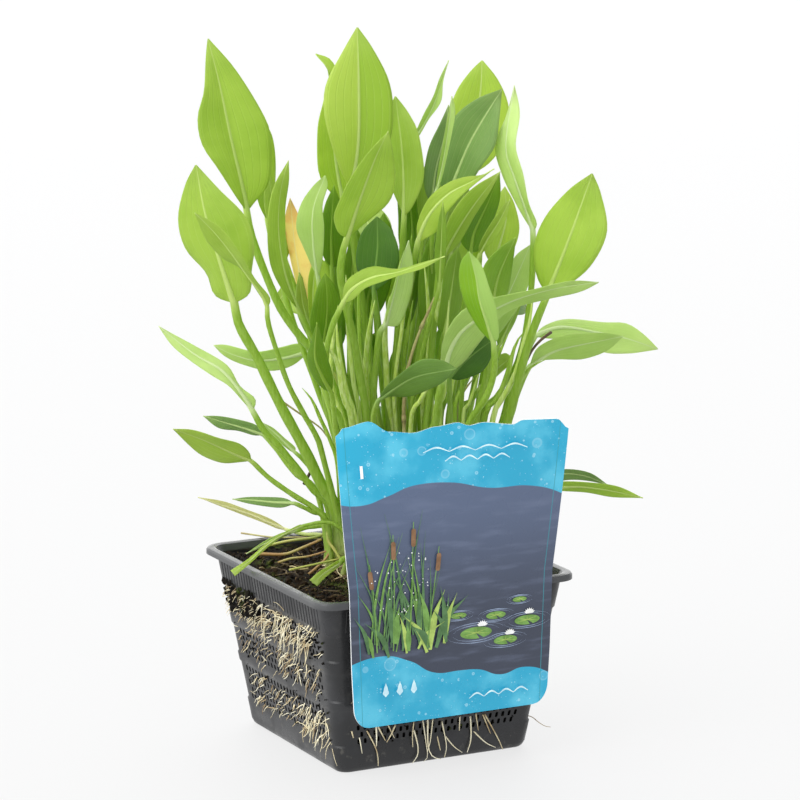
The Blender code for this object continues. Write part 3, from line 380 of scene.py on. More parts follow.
def leafMaterial(name, look):
    material, tree, shader = newMaterial(name, 0.42)
    link = tree.links.new
    spread = addNode(tree, "UVMap", uv_map="leafMap")       # 0.5 is the rib, and below 0 is the stalk
    split = addNode(tree, "SeparateXYZ")
    link(spread.outputs["UV"], split.inputs[0])
    across, along = split.outputs["X"], split.outputs["Y"]
    out = sumNode(tree, "MULTIPLY", sumNode(tree, "ABSOLUTE", sumNode(tree, "SUBTRACT", across, 0.5)), 2.0)
    bands = sumNode(tree, "PINGPONG", sumNode(tree, "MULTIPLY", out, veins["count"]), 0.5)
    fade = between(tree, out, 0.02, 0.16)
    vein = sumNode(tree, "MULTIPLY", between(tree, bands, 0.0, veins["width"], 1.0, 0.0), fade)
    slant = sumNode(tree, "ADD", sumNode(tree, "MULTIPLY", along, veins["across"]),
                    sumNode(tree, "MULTIPLY", out, 14.0))
    wander = sumNode(tree, "ADD", slant, sumNode(tree, "MULTIPLY", noiseOn(tree, 180.0), 3.0))
    rungs = between(tree, sumNode(tree, "PINGPONG", wander, 0.5), 0.0, 0.16, 1.0, 0.0)
    rib = between(tree, out, 0.015, 0.055, 1.0, 0.0)

    mottle = between(tree, noiseOn(tree, 48.0, 4.0), 0.34, 0.70, 0.0, 0.65)
    colour = blendColours(tree, mottle, look["blade"], look["dark"])
    # the right half's own colour; on crest it is painted shade
    if "right" in look:
        colour = blendColours(tree, between(tree, across, 0.49, 0.53), colour, look["right"])
    youngTip = between(tree, along, 0.72, 1.02, 0.0, 0.35)
    colour = blendColours(tree, youngTip, colour, look["rib"])
    colour = blendColours(tree, sumNode(tree, "MULTIPLY", vein, veins["show"]), colour, look["rib"])
    colour = blendColours(tree, sumNode(tree, "MULTIPLY", rungs, veins["show"] * 0.35), colour, look["rib"])
    colour = blendColours(tree, between(tree, out, 0.93, 1.0, 0.0, 0.30), colour, look["rib"])
    if "spots" in look:
        spots = between(tree, noiseOn(tree, look["spotScale"], 3.0), look["spotFrom"], look["spotFrom"] + 0.12)
        colour = blendColours(tree, sumNode(tree, "MULTIPLY", spots, look["spotShare"]), colour, look["spots"])
    colour = blendColours(tree, sumNode(tree, "MULTIPLY", rib, 0.85), colour, look["rib"])

    streaks = sumNode(tree, "MULTIPLY", streaksOn(tree), 0.55)
    stalk = blendColours(tree, streaks, stalkLook["top"], stalkLook["streak"])
    blush = sumNode(tree, "MULTIPLY", between(tree, along, -0.99, -0.90, 1.0, 0.0),
                    between(tree, noiseOn(tree, 260.0), 0.45, 0.62))
    stalk = blendColours(tree, between(tree, along, -1.0, -0.80, 0.85, 0.0), stalk, stalkLook["foot"])
    stalk = blendColours(tree, sumNode(tree, "MULTIPLY", blush, 0.6), stalk, stalkLook["blush"])
    if "stalk" in look:
        stalk = blendColours(tree, look["stalk"], stalk, look["rib"])
    onBlade = between(tree, along, -0.06, 0.04)
    colour = blendColours(tree, onBlade, stalk, colour)

    link(colour, shader.inputs["Base Color"])
    shader.inputs["Specular IOR Level"].default_value = stalkLook["specular"]
    grain = sumNode(tree, "MULTIPLY", noiseOn(tree, 1400.0, 2.0), 0.35)
    height = sumNode(tree, "ADD", sumNode(tree, "ADD", sumNode(tree, "MULTIPLY", vein, -0.9),
                                          sumNode(tree, "MULTIPLY", rungs, -0.25)), grain)
    normal = addBump(tree, shader, height, veins["relief"], 0.8)

    lit = addNode(tree, "BsdfTranslucent")
    link(blendColours(tree, 1.0, colour, (1.25, 1.22, 0.62), "MULTIPLY"), lit.inputs["Color"])
    link(normal, lit.inputs["Normal"])
    # the rib is thick, so it takes more of its light from the front
    thin = between(tree, sumNode(tree, "MULTIPLY", rib, onBlade), 0.0, 1.0, 1.0, 0.5)
    both = addNode(tree, "MixShader")
    link(sumNode(tree, "MULTIPLY", thin, look["glow"]), both.inputs[0])
    link(shader.outputs["BSDF"], both.inputs[1])
    link(lit.outputs["BSDF"], both.inputs[2])
    link(both.outputs["Shader"], tree.nodes["Material Output"].inputs["Surface"])
    return material


leafMaterials = {name: leafMaterial(name + "Leaf", look) for name, look in leafLooks.items()}
print("leaf materials made")

# where the leaves stand: the crowns' middles, and how deep a stalk's foot is in its crown or in the soil
crowns = {
    "left": (-12.0, 2.0), "middle": (11.0, -15.0), "right": (32.0, 4.0),
    "top": 87.0, "inCrown": 2.5, "soil": 80.0, "inSoil": 1.0, "ringStep": 5.0, "besideStep": 1.2,
}


def footPlace(crown, ring, hour):
    # ring 0 to 2 on a crown, ring 3 on the soil beside it, hour 6 toward the viewer
    angle = math.radians(30 * hour)
    radius = crowns["ringStep"] * ring + (crowns["besideStep"] if ring == 3 else 0.0)
    up = crowns["top"] - crowns["inCrown"] if ring < 3 else crowns["soil"] - crowns["inSoil"]
    middle = crowns[crown]
    return middle[0] + radius * math.sin(angle), middle[1] - radius * math.cos(angle), up


# flare is how much a stalk widens into its sheath, rows are shares of the blade's length,
# pillow is how far the blade arches between rib and margin, and ruffle the waves of its margin
leafShape = {
    "stalkRings": 30, "sides": 10, "flare": 0.55,
    "rows": (0.012, 0.03, 0.055, 0.085, 0.12, 0.16, 0.2, 0.245, 0.29, 0.335, 0.38, 0.425, 0.47, 0.515, 0.56,
             0.605, 0.65, 0.695, 0.74, 0.785, 0.83, 0.87, 0.905, 0.935, 0.96, 0.98, 0.992),
    "columns": 7, "thick": 0.42, "edge": 0.2, "pillow": 0.045, "ruffle": 0.5,
}

# node, crown, ring, hour, then readings of the stalk, the rib and both margins, how far
# toward the viewer neck, middle and tip are, the margins' lift, the stalk's width, the look
leafTable = [
    ("leaf_left_tall", "left", 1, 10,
     [(-13, 148), (-16, 162), (-24, 175), (-35, 183), (-47, 199), (-55, 217), (-61, 234)],
     [(-63, 245), (-66, 260), (-70, 278), (-75, 303), (-80, 324)],
     [(-68, 252), (-76, 265), (-83, 276), (-85, 288), (-82, 300), (-81, 315)],
     [(-60, 249), (-53, 259), (-52, 279), (-56, 291), (-68, 310)],
     (-20, -26, -36), (10, -4), 4.2, "fresh"),
    ("leaf_left_broad", "left", 2, 8,
     [(-24, 108), (-30, 119), (-38, 136), (-49, 157), (-59, 178), (-67, 193)],
     [(-69, 203), (-72, 212), (-77, 228), (-82, 245), (-86, 267)],
     [(-78, 207), (-82, 217), (-91, 228), (-94, 242), (-91, 257)],
     [(-62, 208), (-61, 218), (-60, 230), (-64, 243), (-76, 256)],
     (30, 32, 26), (-10, 8), 5, "fresh"),
    ("leaf_left_small", "left", 2, 7,
     [(-29, 131), (-32, 141), (-38, 152), (-45, 166), (-51, 184), (-54, 195)],
     [(-54, 201), (-57, 208), (-63, 216), (-70, 226), (-78, 236), (-87, 245)],
     [(-57, 206), (-66, 219), (-74, 224), (-82, 233)],
     [(-53, 206), (-60, 215), (-67, 227), (-75, 238)],
     (42, 48, 52), (-4, 5), 2.8, "fresh"),
    ("leaf_left_behind", "left", 2, 11,
     [(-20, 130), (-32, 165), (-44, 200), (-51, 228)],
     [(-54, 241), (-55, 255), (-56, 268), (-55, 287)],
     [(-58, 250), (-60, 264), (-59, 277)],
     [(-51, 248), (-50, 262), (-51, 278)],
     (-46, -54, -62), (6, -4), 3, "fresh"),
    ("leaf_left_narrow", "left", 1, 8,
     [(-13, 130), (-20, 155), (-30, 180)],
     [(-40, 200), (-46, 216), (-49, 236), (-48, 254), (-44, 269)],
     [(-47, 209), (-53, 222), (-54, 238), (-51, 256)],
     [(-42, 208), (-45, 226), (-46, 245), (-44, 259)],
     (10, 12, 8), (8, -7), 3.2, "fresh"),
    ("leaf_yellow", "left", 1, 12,
     [(-12, 130), (-20, 160), (-28, 185)],
     fromPhoto((311, 322), (304, 290), (296, 250), (290, 197)),
     fromPhoto((300, 300), (291, 262), (285, 222)),
     fromPhoto((314, 298), (311, 264), (301, 222)),
     (-26, -32, -38), (-5, 6), 3, "yellow"),
    ("leaf_left_blue", "left", 0, 12,
     [(-10, 130), (-19, 165), (-28, 195)],
     [(-31, 214), (-33, 230), (-33, 246), (-27.5, 262)],
     [(-37, 228), (-41, 238), (-39, 248), (-33, 257)],
     [(-29, 224), (-28, 237), (-29, 248), (-26.5, 257)],
     (-4, -2, -6), (-7, 4), 3, "pale"),
    ("leaf_front_arch", "left", 2, 6,
     [(-20, 144), (-26, 157), (-28, 169), (-28, 178), (-25, 192)],
     [(-20, 203), (-15, 210), (-6, 215), (6, 217.5), (27, 225)],
     [(-19, 212), (-14, 217), (-6, 220), (5, 219), (16, 222)],
     [(-15, 205), (-10, 210), (-3, 213), (6, 216), (16, 219)],
     (42, 62, 74), (-5, 6), 3.2, "fresh"),
    ("leaf_low_left", "left", 2, 9,
     [(-27, 109), (-34, 117), (-47, 134), (-56, 144)],
     [(-61, 153), (-66, 161), (-75, 172), (-88, 180), (-104, 193)],
     [(-65, 157), (-72, 165), (-80, 170), (-90, 177), (-98, 184)],
     [(-60, 159), (-67, 165), (-73, 175), (-88, 184), (-97, 189)],
     (4, 2, -4), (2, -2), 3.6, "milky"),
    ("leaf_left_dusky", "left", 3, 10,
     [(-32, 115), (-42, 124), (-51, 136)],
     [(-56, 142), (-64, 145), (-74, 148), (-84, 151)],
     [(-61, 142), (-68, 144), (-77, 145.5)],
     [(-60, 147), (-69, 149.5), (-77, 151)],
     (-24, -30, -38), (-2, 2), 2.6, "blue"),
    ("leaf_left_wisp", "left", 2, 10,
     [(-30, 118), (-38, 130)],
     [(-42, 134), (-46, 138), (-51, 143), (-57, 148)],
     [(-44, 134.5), (-49, 138.5), (-54, 143)],
     [(-42, 136.5), (-47, 141), (-52, 145.5)],
     (-8, -10, -12), (0, 0), 2.2, "pale"),
    ("leaf_left_spotted", "left", 3, 8,
     [(-27, 99), (-32.5, 107), (-43, 114), (-54, 122)],
     [(-62, 130), (-70, 133.5), (-84, 140), (-98, 145)],
     [(-67, 129.5), (-76, 129), (-84, 132), (-91, 138)],
     [(-63, 134), (-68, 138.5), (-78, 141), (-89, 144.5)],
     (12, 14, 16), (-6, 5), 2.8, "spotted"),
    ("leaf_left_low", "left", 3, 9.4,
     [(-27, 102), (-34, 106)],
     [(-42, 110), (-52, 110.5), (-62, 111.5), (-71, 112)],
     [(-48, 108), (-55, 108.5), (-64, 110)],
     [(-47, 112.5), (-55, 113), (-64, 113)],
     (0, -6, -12), (1, -1), 2.4, "blue"),
    ("leaf_dying", "left", 3, 11,
     [(-28, 94), (-38, 95.5)],
     [(-46, 97.5), (-54, 101), (-63, 105), (-87, 113)],
     [(-50, 98), (-57, 101), (-66, 104.5), (-76, 108.5)],
     [(-49, 100), (-55, 103.5), (-64, 107), (-75, 111)],
     (-52, -58, -64), (0, 0), 2, "dry"),
    ("strap_over_rim", "left", 3, 7,
     [(-17, 92), (-24, 100), (-31, 101)],
     [(-40, 99), (-49, 94.5), (-56, 89.5), (-63, 83), (-71, 77)],
     [(-41, 98.2), (-49, 93.5), (-55.8, 88.3), (-62.4, 82.1), (-70, 75.6)],
     [(-40, 100.0), (-49, 95.4), (-56.3, 90.4), (-63.6, 84.0), (-72, 78.3)],
     (14, 18, 19), (0, 0), 1.9, "strap"),
    ("strap_on_soil", "left", 3, 12,
     [(-22, 98), (-34, 99)],
     [(-42, 97), (-48, 95), (-56, 91), (-65, 86)],
     [(-46, 94.8), (-50, 93), (-56, 89.8)],
     [(-46, 96.8), (-50, 95.4), (-57, 91.8)],
     (-22, -20, -17), (0, 0), 2.4, "pale"),
    ("strap_cut_short", "left", 3, 6,
     [(-19, 83.5)],
     [(-22, 81.5), (-26.4, 78.6), (-30, 76), (-34, 72.2)],
     [(-22, 80), (-25.8, 77), (-28.8, 74.4), (-32, 70.8)],
     [(-22.5, 83.0), (-27, 80.2), (-31.4, 77.6), (-35.6, 73.8)],
     (24, 31, 38), (0, 0), 3.0, "strap"),
    ("leaf_back_left", "left", 2, 12,
     [(-14, 120), (-20, 150), (-27, 172)],
     [(-35, 181), (-47, 178), (-60, 177), (-71, 180), (-79, 184)],
     [(-43, 174.5), (-54, 172), (-66, 175), (-74, 179)],
     [(-40, 184.5), (-48, 183), (-60, 181), (-73, 184)],
     (-44, -54, -66), (-4, 4), 3.4, "pale"),
    ("leaf_left_shade", "left", 1, 6,
     [(-10, 130), (-18, 160), (-25, 190)],
     fromPhoto((322, 346), (326, 322), (327, 298), (325, 273)),
     fromPhoto((311, 330), (312, 308), (317, 288)),
     fromPhoto((336, 336), (343, 312), (336, 288)),
     (18, 20, 18), (7, -6), 3, "shade"),
    ("leaf_left_front_low", "left", 2, 5,
     [(-14, 118), (-22, 138)],
     fromPhoto((332, 394), (322, 376), (315, 356), (317, 322)),
     fromPhoto((318, 384), (307, 362), (311, 342)),
     fromPhoto((333, 378), (328, 358), (322, 338)),
     (44, 58, 72), (-3, -3), 2.8, "shade"),
    ("leaf_top", "middle", 1, 10,
     [(-4, 140), (-8, 180), (-14, 225)],
     [(-17, 256), (-14, 267), (-12.5, 282), (-12.5, 306), (-13, 329)],
     [(-21, 265), (-25, 276), (-28, 290), (-27, 303), (-20, 317)],
     [(-7, 262), (1, 275), (3, 290), (1, 305), (-6, 319)],
     (-8, -12, -22), (12, 2), 4.2, "crest"),
    ("leaf_top_curled", "middle", 2, 10,
     [(-6, 140), (-12, 190), (-17, 235)],
     [(-20, 250), (-23, 268), (-25, 290), (-25, 307), (-32, 317)],
     [(-27, 256), (-31, 265), (-31, 283), (-28, 296), (-26, 308)],
     [(-15, 262), (-15, 280), (-19, 298), (-24, 313)],
     (-36, -44, -56), (7, -5), 3.2, "lime"),
    ("leaf_centre_front", "left", 2, 4,
     [(-9, 148), (-13, 174), (-15, 187), (-19, 204), (-21, 216), (-20, 226)],
     [(-18, 233), (-15, 242), (-11, 254), (-5, 270), (1, 282)],
     [(-22, 236), (-24, 243), (-22, 249), (-18, 257), (-9, 271)],
     [(-13, 237), (-7, 242), (1, 250), (4, 260), (3, 272)],
     (38, 48, 56), (9, -8), 3.8, "fresh"),
    ("leaf_top_right", "middle", 1, 2,
     [(4, 150), (5, 190), (7, 225)],
     [(8, 243), (8, 258), (7, 275), (4, 298)],
     [(4, 252), (-1, 266), (-2, 284)],
     [(12, 248), (17, 262), (15, 279), (10, 290)],
     (-24, -30, -38), (-4, 11), 3.6, "fresh"),
    ("leaf_curl_right", "middle", 1, 12,
     [(8, 160), (8, 220), (9, 262)],
     [(12, 277), (17, 285), (21, 293), (24.5, 303), (28, 314)],
     [(13, 281), (17, 290), (21, 297.5), (24, 306)],
     [(15, 280), (19, 287), (24.5, 295), (25.5, 304)],
     (-52, -60, -68), (2, 2), 2.6, "pale"),
    ("leaf_bluish", "middle", 1, 4,
     [(8, 150), (13, 200), (17, 235)],
     [(20, 248), (22, 264), (26, 280), (28, 294)],
     [(17, 258), (18.5, 273), (24, 285)],
     [(24, 258), (28, 270), (30, 284)],
     (-30, -36, -42), (6, -3), 2.8, "blue"),
    ("leaf_back_top", "middle", 2, 2,
     [(12, 150), (21, 200), (30, 240)],
     [(35, 260), (39, 280), (42, 298), (43, 314)],
     [(29, 272), (27, 286), (31, 299), (37, 308)],
     [(47, 268), (55, 281), (55, 293), (50, 305)],
     (-52, -66, -80), (10, -5), 3.8, "lime"),
    ("leaf_dark_top", "middle", 2, 3,
     [(12, 150), (19, 200), (25, 238)],
     [(28, 252), (33, 265), (39, 279), (52, 301)],
     [(24, 259), (25, 272), (30, 287), (40, 296)],
     [(37, 257), (43, 266), (49, 276), (51, 289)],
     (-16, -14, -16), (-3, 12), 3.8, "blue"),
    ("leaf_centre_dark", "middle", 1, 8,
     [(2, 130), (0, 165)],
     fromPhoto((374, 292), (376, 268), (378, 244), (377, 216)),
     fromPhoto((360, 276), (356, 254), (362, 232)),
     fromPhoto((393, 276), (400, 256), (392, 231)),
     (10, 14, 14), (-6, 5), 3.2, "deep"),
    ("leaf_centre_grey", "left", 2, 3,
     [(-6, 146), (-6, 160), (-5, 174), (-3, 190)],
     fromPhoto((385, 326), (392, 300), (400, 268), (409, 240)),
     fromPhoto((387, 308), (393, 288), (401, 260)),
     fromPhoto((400, 324), (411, 296), (413, 266)),
     (20, 24, 28), (6, -4), 3.4, "milky"),
    ("leaf_slim_middle", "middle", 2, 5,
     [(10, 140), (14, 170), (20, 196)],
     [(24, 210), (24.5, 222), (25, 236), (25.5, 250)],
     [(22, 219), (22, 229), (23.5, 241)],
     [(26, 217), (27, 228), (27, 240)],
     (26, 30, 32), (1, 1), 2.4, "mid"),
    ("leaf_front_dark", "middle", 2, 7,
     [(-1, 116), (-5, 136), (-6, 150)],
     [(-4, 158), (4, 164), (14, 169.5), (32, 173)],
     [(0, 165), (8, 172), (16, 177), (25, 177)],
     [(2, 160), (9, 160), (17, 162.5), (25, 166)],
     (50, 64, 74), (5, -6), 3, "dusk"),
    ("leaf_back_one", "middle", 2, 11,
     [(-8, 130), (-18, 165), (-26, 190)],
     [(-34, 204), (-41, 209), (-46, 208), (-50, 202)],
     [(-36, 208), (-42, 215), (-49, 209)],
     [(-34, 200), (-38, 198), (-45, 200)],
     (-64, -86, -104), (2, 2), 3.4, "fresh"),
    ("leaf_back_two", "middle", 2, 12,
     [(2, 130), (-2, 170), (-5, 205)],
     [(-6, 224), (-8, 238), (-10, 246), (-12, 250)],
     [(-12, 234), (-16, 243), (-15, 249)],
     [(2, 234), (1, 242), (-6, 249)],
     (-48, -70, -92), (3, 3), 3.8, "olive"),
    ("leaf_back_three", "middle", 2, 1,
     [(10, 130), (14, 165), (18, 195)],
     [(22, 212), (27, 218), (31, 219), (35, 215)],
     [(19, 219), (25, 228), (32, 223)],
     [(27, 209), (33, 209), (36, 211)],
     (-58, -82, -100), (2, 2), 3.4, "mid"),
    ("leaf_back_low", "middle", 3, 12,
     [(4, 110), (4, 130)],
     [(3, 144), (2, 150), (1, 153), (0, 153)],
     [(-4, 149), (-6, 154), (-4, 156)],
     [(9, 149), (9, 154), (4, 156)],
     (-62, -84, -104), (0, 0), 3, "deep"),
    ("leaf_folded_young", "right", 1, 10,
     [(19, 130), (20, 170), (20, 215)],
     [(22, 252), (25.5, 267), (28, 283), (29.5, 298)],
     [(23, 262), (25.5, 277), (28, 291)],
     [(25.5, 262), (28.5, 276), (31, 290)],
     (-1, 2, 3), (1, 3), 2.6, "pale"),
    ("leaf_right_pale", "right", 1, 2,
     [(45, 125), (53, 148), (57, 166), (61, 180), (64, 194), (66, 215)],
     [(66.5, 236), (63, 247), (58, 261), (54, 275), (57.5, 303)],
     [(63, 241), (58, 250), (52, 262), (49, 275), (54, 289)],
     [(68, 240), (64.5, 249), (62, 262), (58, 275), (60, 290)],
     (2, -4, -12), (-4, 9), 3.6, "milky"),
    ("leaf_right_big", "right", 2, 3,
     [(50, 130), (57, 154), (62, 175), (67, 192)],
     [(73, 207), (77, 217), (85, 239), (93, 263)],
     [(68, 216), (67, 229), (72, 243), (82, 255)],
     [(80, 210), (92, 220), (100, 236), (97, 253)],
     (22, 28, 32), (-11, 10), 4.2, "fresh"),
    ("leaf_right_arch", "right", 2, 7,
     [(20, 130), (23, 151), (24, 160)],
     [(26, 169), (29, 182), (37, 193), (56, 204), (76, 210), (97, 213)],
     fromPhoto((441, 352), (446, 333), (462, 311), (490, 299), (530, 290), (570, 281)),
     fromPhoto((464, 362), (483, 338), (508, 312), (545, 300), (580, 292)),
     (36, 44, 46), (4, -3), 4.2, "pale"),
    ("leaf_arched_pale", "middle", 2, 4,
     [(5, 140), (8, 180), (11, 212)],
     [(14, 231), (19, 243), (28, 253), (39, 259), (49, 265)],
     [(14, 240), (19, 251), (27, 258), (35, 261), (43, 262)],
     fromPhoto((436, 232), (446, 214), (462, 196), (474, 185)),
     (8, 12, 14), (-2, 4), 3.4, "lime"),
    ("leaf_edge_pale", "right", 1, 8,
     [(18, 125), (20, 165), (21, 187)],
     fromPhoto((440, 262), (456, 232), (476, 202), (501, 171)),
     fromPhoto((443, 240), (452, 214), (470, 190)),
     fromPhoto((459, 243), (475, 216), (490, 192)),
     (14, 18, 18), (7, 0), 3.6, "fresh"),
    ("leaf_mid_dark", "right", 0, 12,
     [(28, 140), (33, 180), (36, 210)],
     fromPhoto((470, 253), (474, 232), (487, 204), (500, 173)),
     fromPhoto((461, 241), (466, 222), (482, 196)),
     fromPhoto((481, 249), (491, 226), (500, 198)),
     (6, 2, -4), (6, -2), 3.2, "shade"),
    ("leaf_mid_narrow", "right", 1, 4,
     [(34, 150), (37, 190), (39, 212)],
     [(42, 225), (46, 233), (51, 241), (56, 251)],
     [(42, 230), (46, 238), (52, 247)],
     [(45, 228), (52, 237), (55, 245)],
     (12, 14, 14), (2, 2), 2.6, "fresh"),
    ("leaf_back_lime", "right", 2, 1,
     [(40, 140), (46, 185)],
     fromPhoto((492, 266), (500, 242), (506, 218), (505, 186)),
     fromPhoto((484, 250), (484, 230), (492, 205)),
     fromPhoto((510, 256), (519, 230), (515, 205)),
     (-36, -44, -54), (8, -3), 3.2, "lime"),
    ("leaf_mid_right", "right", 2, 4,
     [(40, 140), (47, 178)],
     fromPhoto((492, 304), (497, 280), (504, 262), (516, 237)),
     fromPhoto((482, 290), (484, 268), (497, 250)),
     fromPhoto((505, 298), (511, 276), (514, 256)),
     (24, 28, 30), (7, -4), 3.2, "mid"),
    ("leaf_front_bright", "right", 2, 5,
     [(33, 130), (38, 148), (45, 159), (49, 171)],
     fromPhoto((494, 344), (487, 322), (480, 300), (476, 276), (469, 251)),
     fromPhoto((478, 328), (466, 304), (459, 280), (461, 262)),
     fromPhoto((499, 336), (497, 314), (491, 292), (482, 266)),
     (58, 69.6, 75.5), (-9, 6), 3.4, "split"),
    ("leaf_right_shade", "right", 2, 6,
     [(28, 130), (29, 150)],
     fromPhoto((449, 378), (464, 362), (479, 350), (493, 340)),
     fromPhoto((456, 358), (467, 340), (482, 332)),
     fromPhoto((460, 380), (480, 373), (491, 358)),
     (30, 32, 34), (2, -2), 3, "deep"),
    ("leaf_right_far", "right", 2, 2,
     [(46, 125), (56, 155), (61, 173)],
     [(67, 188), (79, 192), (94, 190), (109, 187), (124, 182)],
     [(72, 193), (82, 196), (98, 194.5), (109, 194), (117, 189)],
     [(73, 187), (86, 186), (99, 180.5), (110, 180), (118, 181)],
     (-20, -30, -40), (-3, 3), 3.6, "milky"),
    ("leaf_right_low", "right", 3, 3,
     [(51, 118), (56, 148), (61, 165)],
     [(65, 174), (76, 181), (90, 184.5), (108, 188)],
     [(69, 183), (80, 188), (92, 189.5), (101, 189.5)],
     [(69, 176.5), (79, 177.5), (90, 177.5), (100, 181)],
     (-8, -14, -22), (5, -4), 3.4, "pale"),
    ("leaf_right_hidden", "right", 3, 2,
     [(46, 98), (58, 112)],
     [(68, 120), (80, 124), (91, 123), (102, 118.5)],
     [(72, 124), (82, 126), (93, 124.5)],
     [(73, 119.5), (83, 121), (93, 120.5)],
     (-10, -16, -22), (2, -2), 2.8, "blue"),
    ("leaf_right_lowest", "right", 3, 4,
     [(50, 92), (62, 106)],
     [(73, 117), (88, 118), (103, 116), (118, 112.5)],
     [(78, 120), (92, 120), (106, 118)],
     [(79, 116), (92, 115), (104, 113)],
     (10, 8, 4), (2, -2), 2.8, "fresh"),
    ("leaf_back_right", "right", 2, 12,
     [(34, 130), (40, 165), (44, 190)],
     [(48, 203), (54, 207), (59, 206), (64, 200)],
     [(47, 209), (54, 214), (61, 208)],
     [(51, 199), (57, 198), (62, 198)],
     (-50, -70, -88), (2, 2), 3.4, "blue"),
]


cutStalks = ("strap_over_rim", "strap_cut_short")          # their ends are blunt


def growLeaf(node, crown, ring, hour, stalk, rib, left, right, depth, lift, width, look):
    rnd = random.Random(node)
    cut = node in cutStalks
    neck, middle, tip = depth
    foot = footPlace(crown, ring, hour)
    line = [reading(*foot)] + [Vector(p) for p in stalk] + [Vector(rib[0])]
    count = leafShape["stalkRings"]
    shares = [k / count for k in range(count + 1)]
    stalkPlaces = [seen(p.x, p.y, mix(foot[1], neck, share ** 1.5))
                   for share, p in zip(shares, smoothLine(line, shares))]
    rows = leafShape["rows"] + (1.0,)

    def bladeLine(points, nearer):
        places = []
        for share, p in zip(rows, smoothLine([Vector(q) for q in points], rows)):
            bow = 4 * share * (1 - share) * (middle - (neck + tip) / 2)
            bulge = nearer if cut else nearer * math.sin(math.pi * min(share + 0.08 * min(1, share * 12), 1.0))
            places.append(seen(p.x, p.y, mix(neck, tip, share) + bow + bulge))
        return places

    ends = [] if cut else [rib[-1]]
    ribPlaces = bladeLine(rib, 0.0)
    leftPlaces = bladeLine([rib[0]] + list(left) + ends, lift[0])
    rightPlaces = bladeLine([rib[0]] + list(right) + ends, lift[1])

    bm = bmesh.new()
    spread = bm.loops.layers.uv.new("leafMap")
    spots = {}                                             # each corner's place on the leaf map

    # stalk and rib are one tapering rod
    places = stalkPlaces[:-1] + ribPlaces
    stations = [share - 1 for share in shares[:-1]] + list(rows)
    across = (rightPlaces[4] - leftPlaces[4]).normalized()
    loops = []
    for k, place in enumerate(places[:-1] if not cut else places):
        ahead = places[min(k + 1, len(places) - 1)] - places[max(k - 1, 0)]
        side = (across - ahead * (across.dot(ahead) / ahead.length_squared)).normalized()
        front = side.cross(ahead).normalized()
        if k < count:
            wide = width / 2 * (1.12 - 0.3 * shares[k])
            wide *= 1 + leafShape["flare"] * math.exp(-shares[k] * 9) + 0.05 * math.sin(k * 1.3 + width)
            deep = wide
        else:
            share = rows[k - count]
            wide = mix(width * 0.40, 0.30, min(1.0, share * 1.25) ** 0.7)
            deep = mix(width * 0.38, 0.28, min(1.0, share * 1.15) ** 0.7)
        ring = []
        for step in range(leafShape["sides"]):
            angle = 2 * math.pi * step / leafShape["sides"]
            channel = 1 - 0.16 * max(0.0, math.sin(angle)) ** 2
            corner = place + side * (wide * math.cos(angle)) + front * (deep * channel * math.sin(angle))
            vert = bm.verts.new(corner * mm)
            spots[vert] = (0.5, stations[k])
            ring.append(vert)
        loops.append(ring)
    closeRings(bm, loops)

    # the blade is a thin sheet on both sides of the rib
    columns = leafShape["columns"]
    wave = rnd.uniform(0, 6.28)
    sheet = {}
    for r, share in enumerate(rows[:-1] if not cut else rows):
        a, b, c = leftPlaces[r], ribPlaces[r], rightPlaces[r]
        ahead = ribPlaces[min(r + 1, len(rows) - 1)] - (ribPlaces[r - 1] if r else stalkPlaces[-2])
        front = (c - a).cross(ahead).normalized()
        for col in range(-columns, columns + 1):
            w = abs(col) / columns
            edge = a if col < 0 else c
            point = b.lerp(edge, w)
            reach = (edge - b).length
            point += front * reach * leafShape["pillow"] * 4 * w * (1 - w)
            ripple = math.sin(share * 9 + wave + (2.0 if col < 0 else 0.0)) * math.sin(math.pi * share)
            point += front * ripple * leafShape["ruffle"] * min(1.0, reach / 12) * w * w
            half = mix(leafShape["thick"], leafShape["edge"], w) / 2
            for face, sign in (("front", 1), ("back", -1)):
                vert = bm.verts.new((point + front * half * sign) * mm)
                spots[vert] = (0.5 + 0.5 * col / columns, share)
                sheet[r, col, face] = vert
    last = max(r for r, _, _ in sheet)
    for r in range(last):
        for col in range(-columns, columns):
            corners = (r, col), (r, col + 1), (r + 1, col + 1), (r + 1, col)
            bm.faces.new([sheet[corner + ("front",)] for corner in corners])
            bm.faces.new([sheet[corner + ("back",)] for corner in corners[:1] + corners[:0:-1]])
        for col in (-columns, columns):
            side = [sheet[r, col, "front"], sheet[r + 1, col, "front"],
                    sheet[r + 1, col, "back"], sheet[r, col, "back"]]
            bm.faces.new(side if col < 0 else side[::-1])
    for r in (0, last):
        for col in range(-columns, columns):
            end = [sheet[r, col, "front"], sheet[r, col, "back"],
                   sheet[r, col + 1, "back"], sheet[r, col + 1, "front"]]
            bm.faces.new(end if r == 0 else end[::-1])
    for face in bm.faces:
        for loop in face.loops:
            loop[spread].uv = spots[loop.vert]
    bmesh.ops.recalc_face_normals(bm, faces=bm.faces)

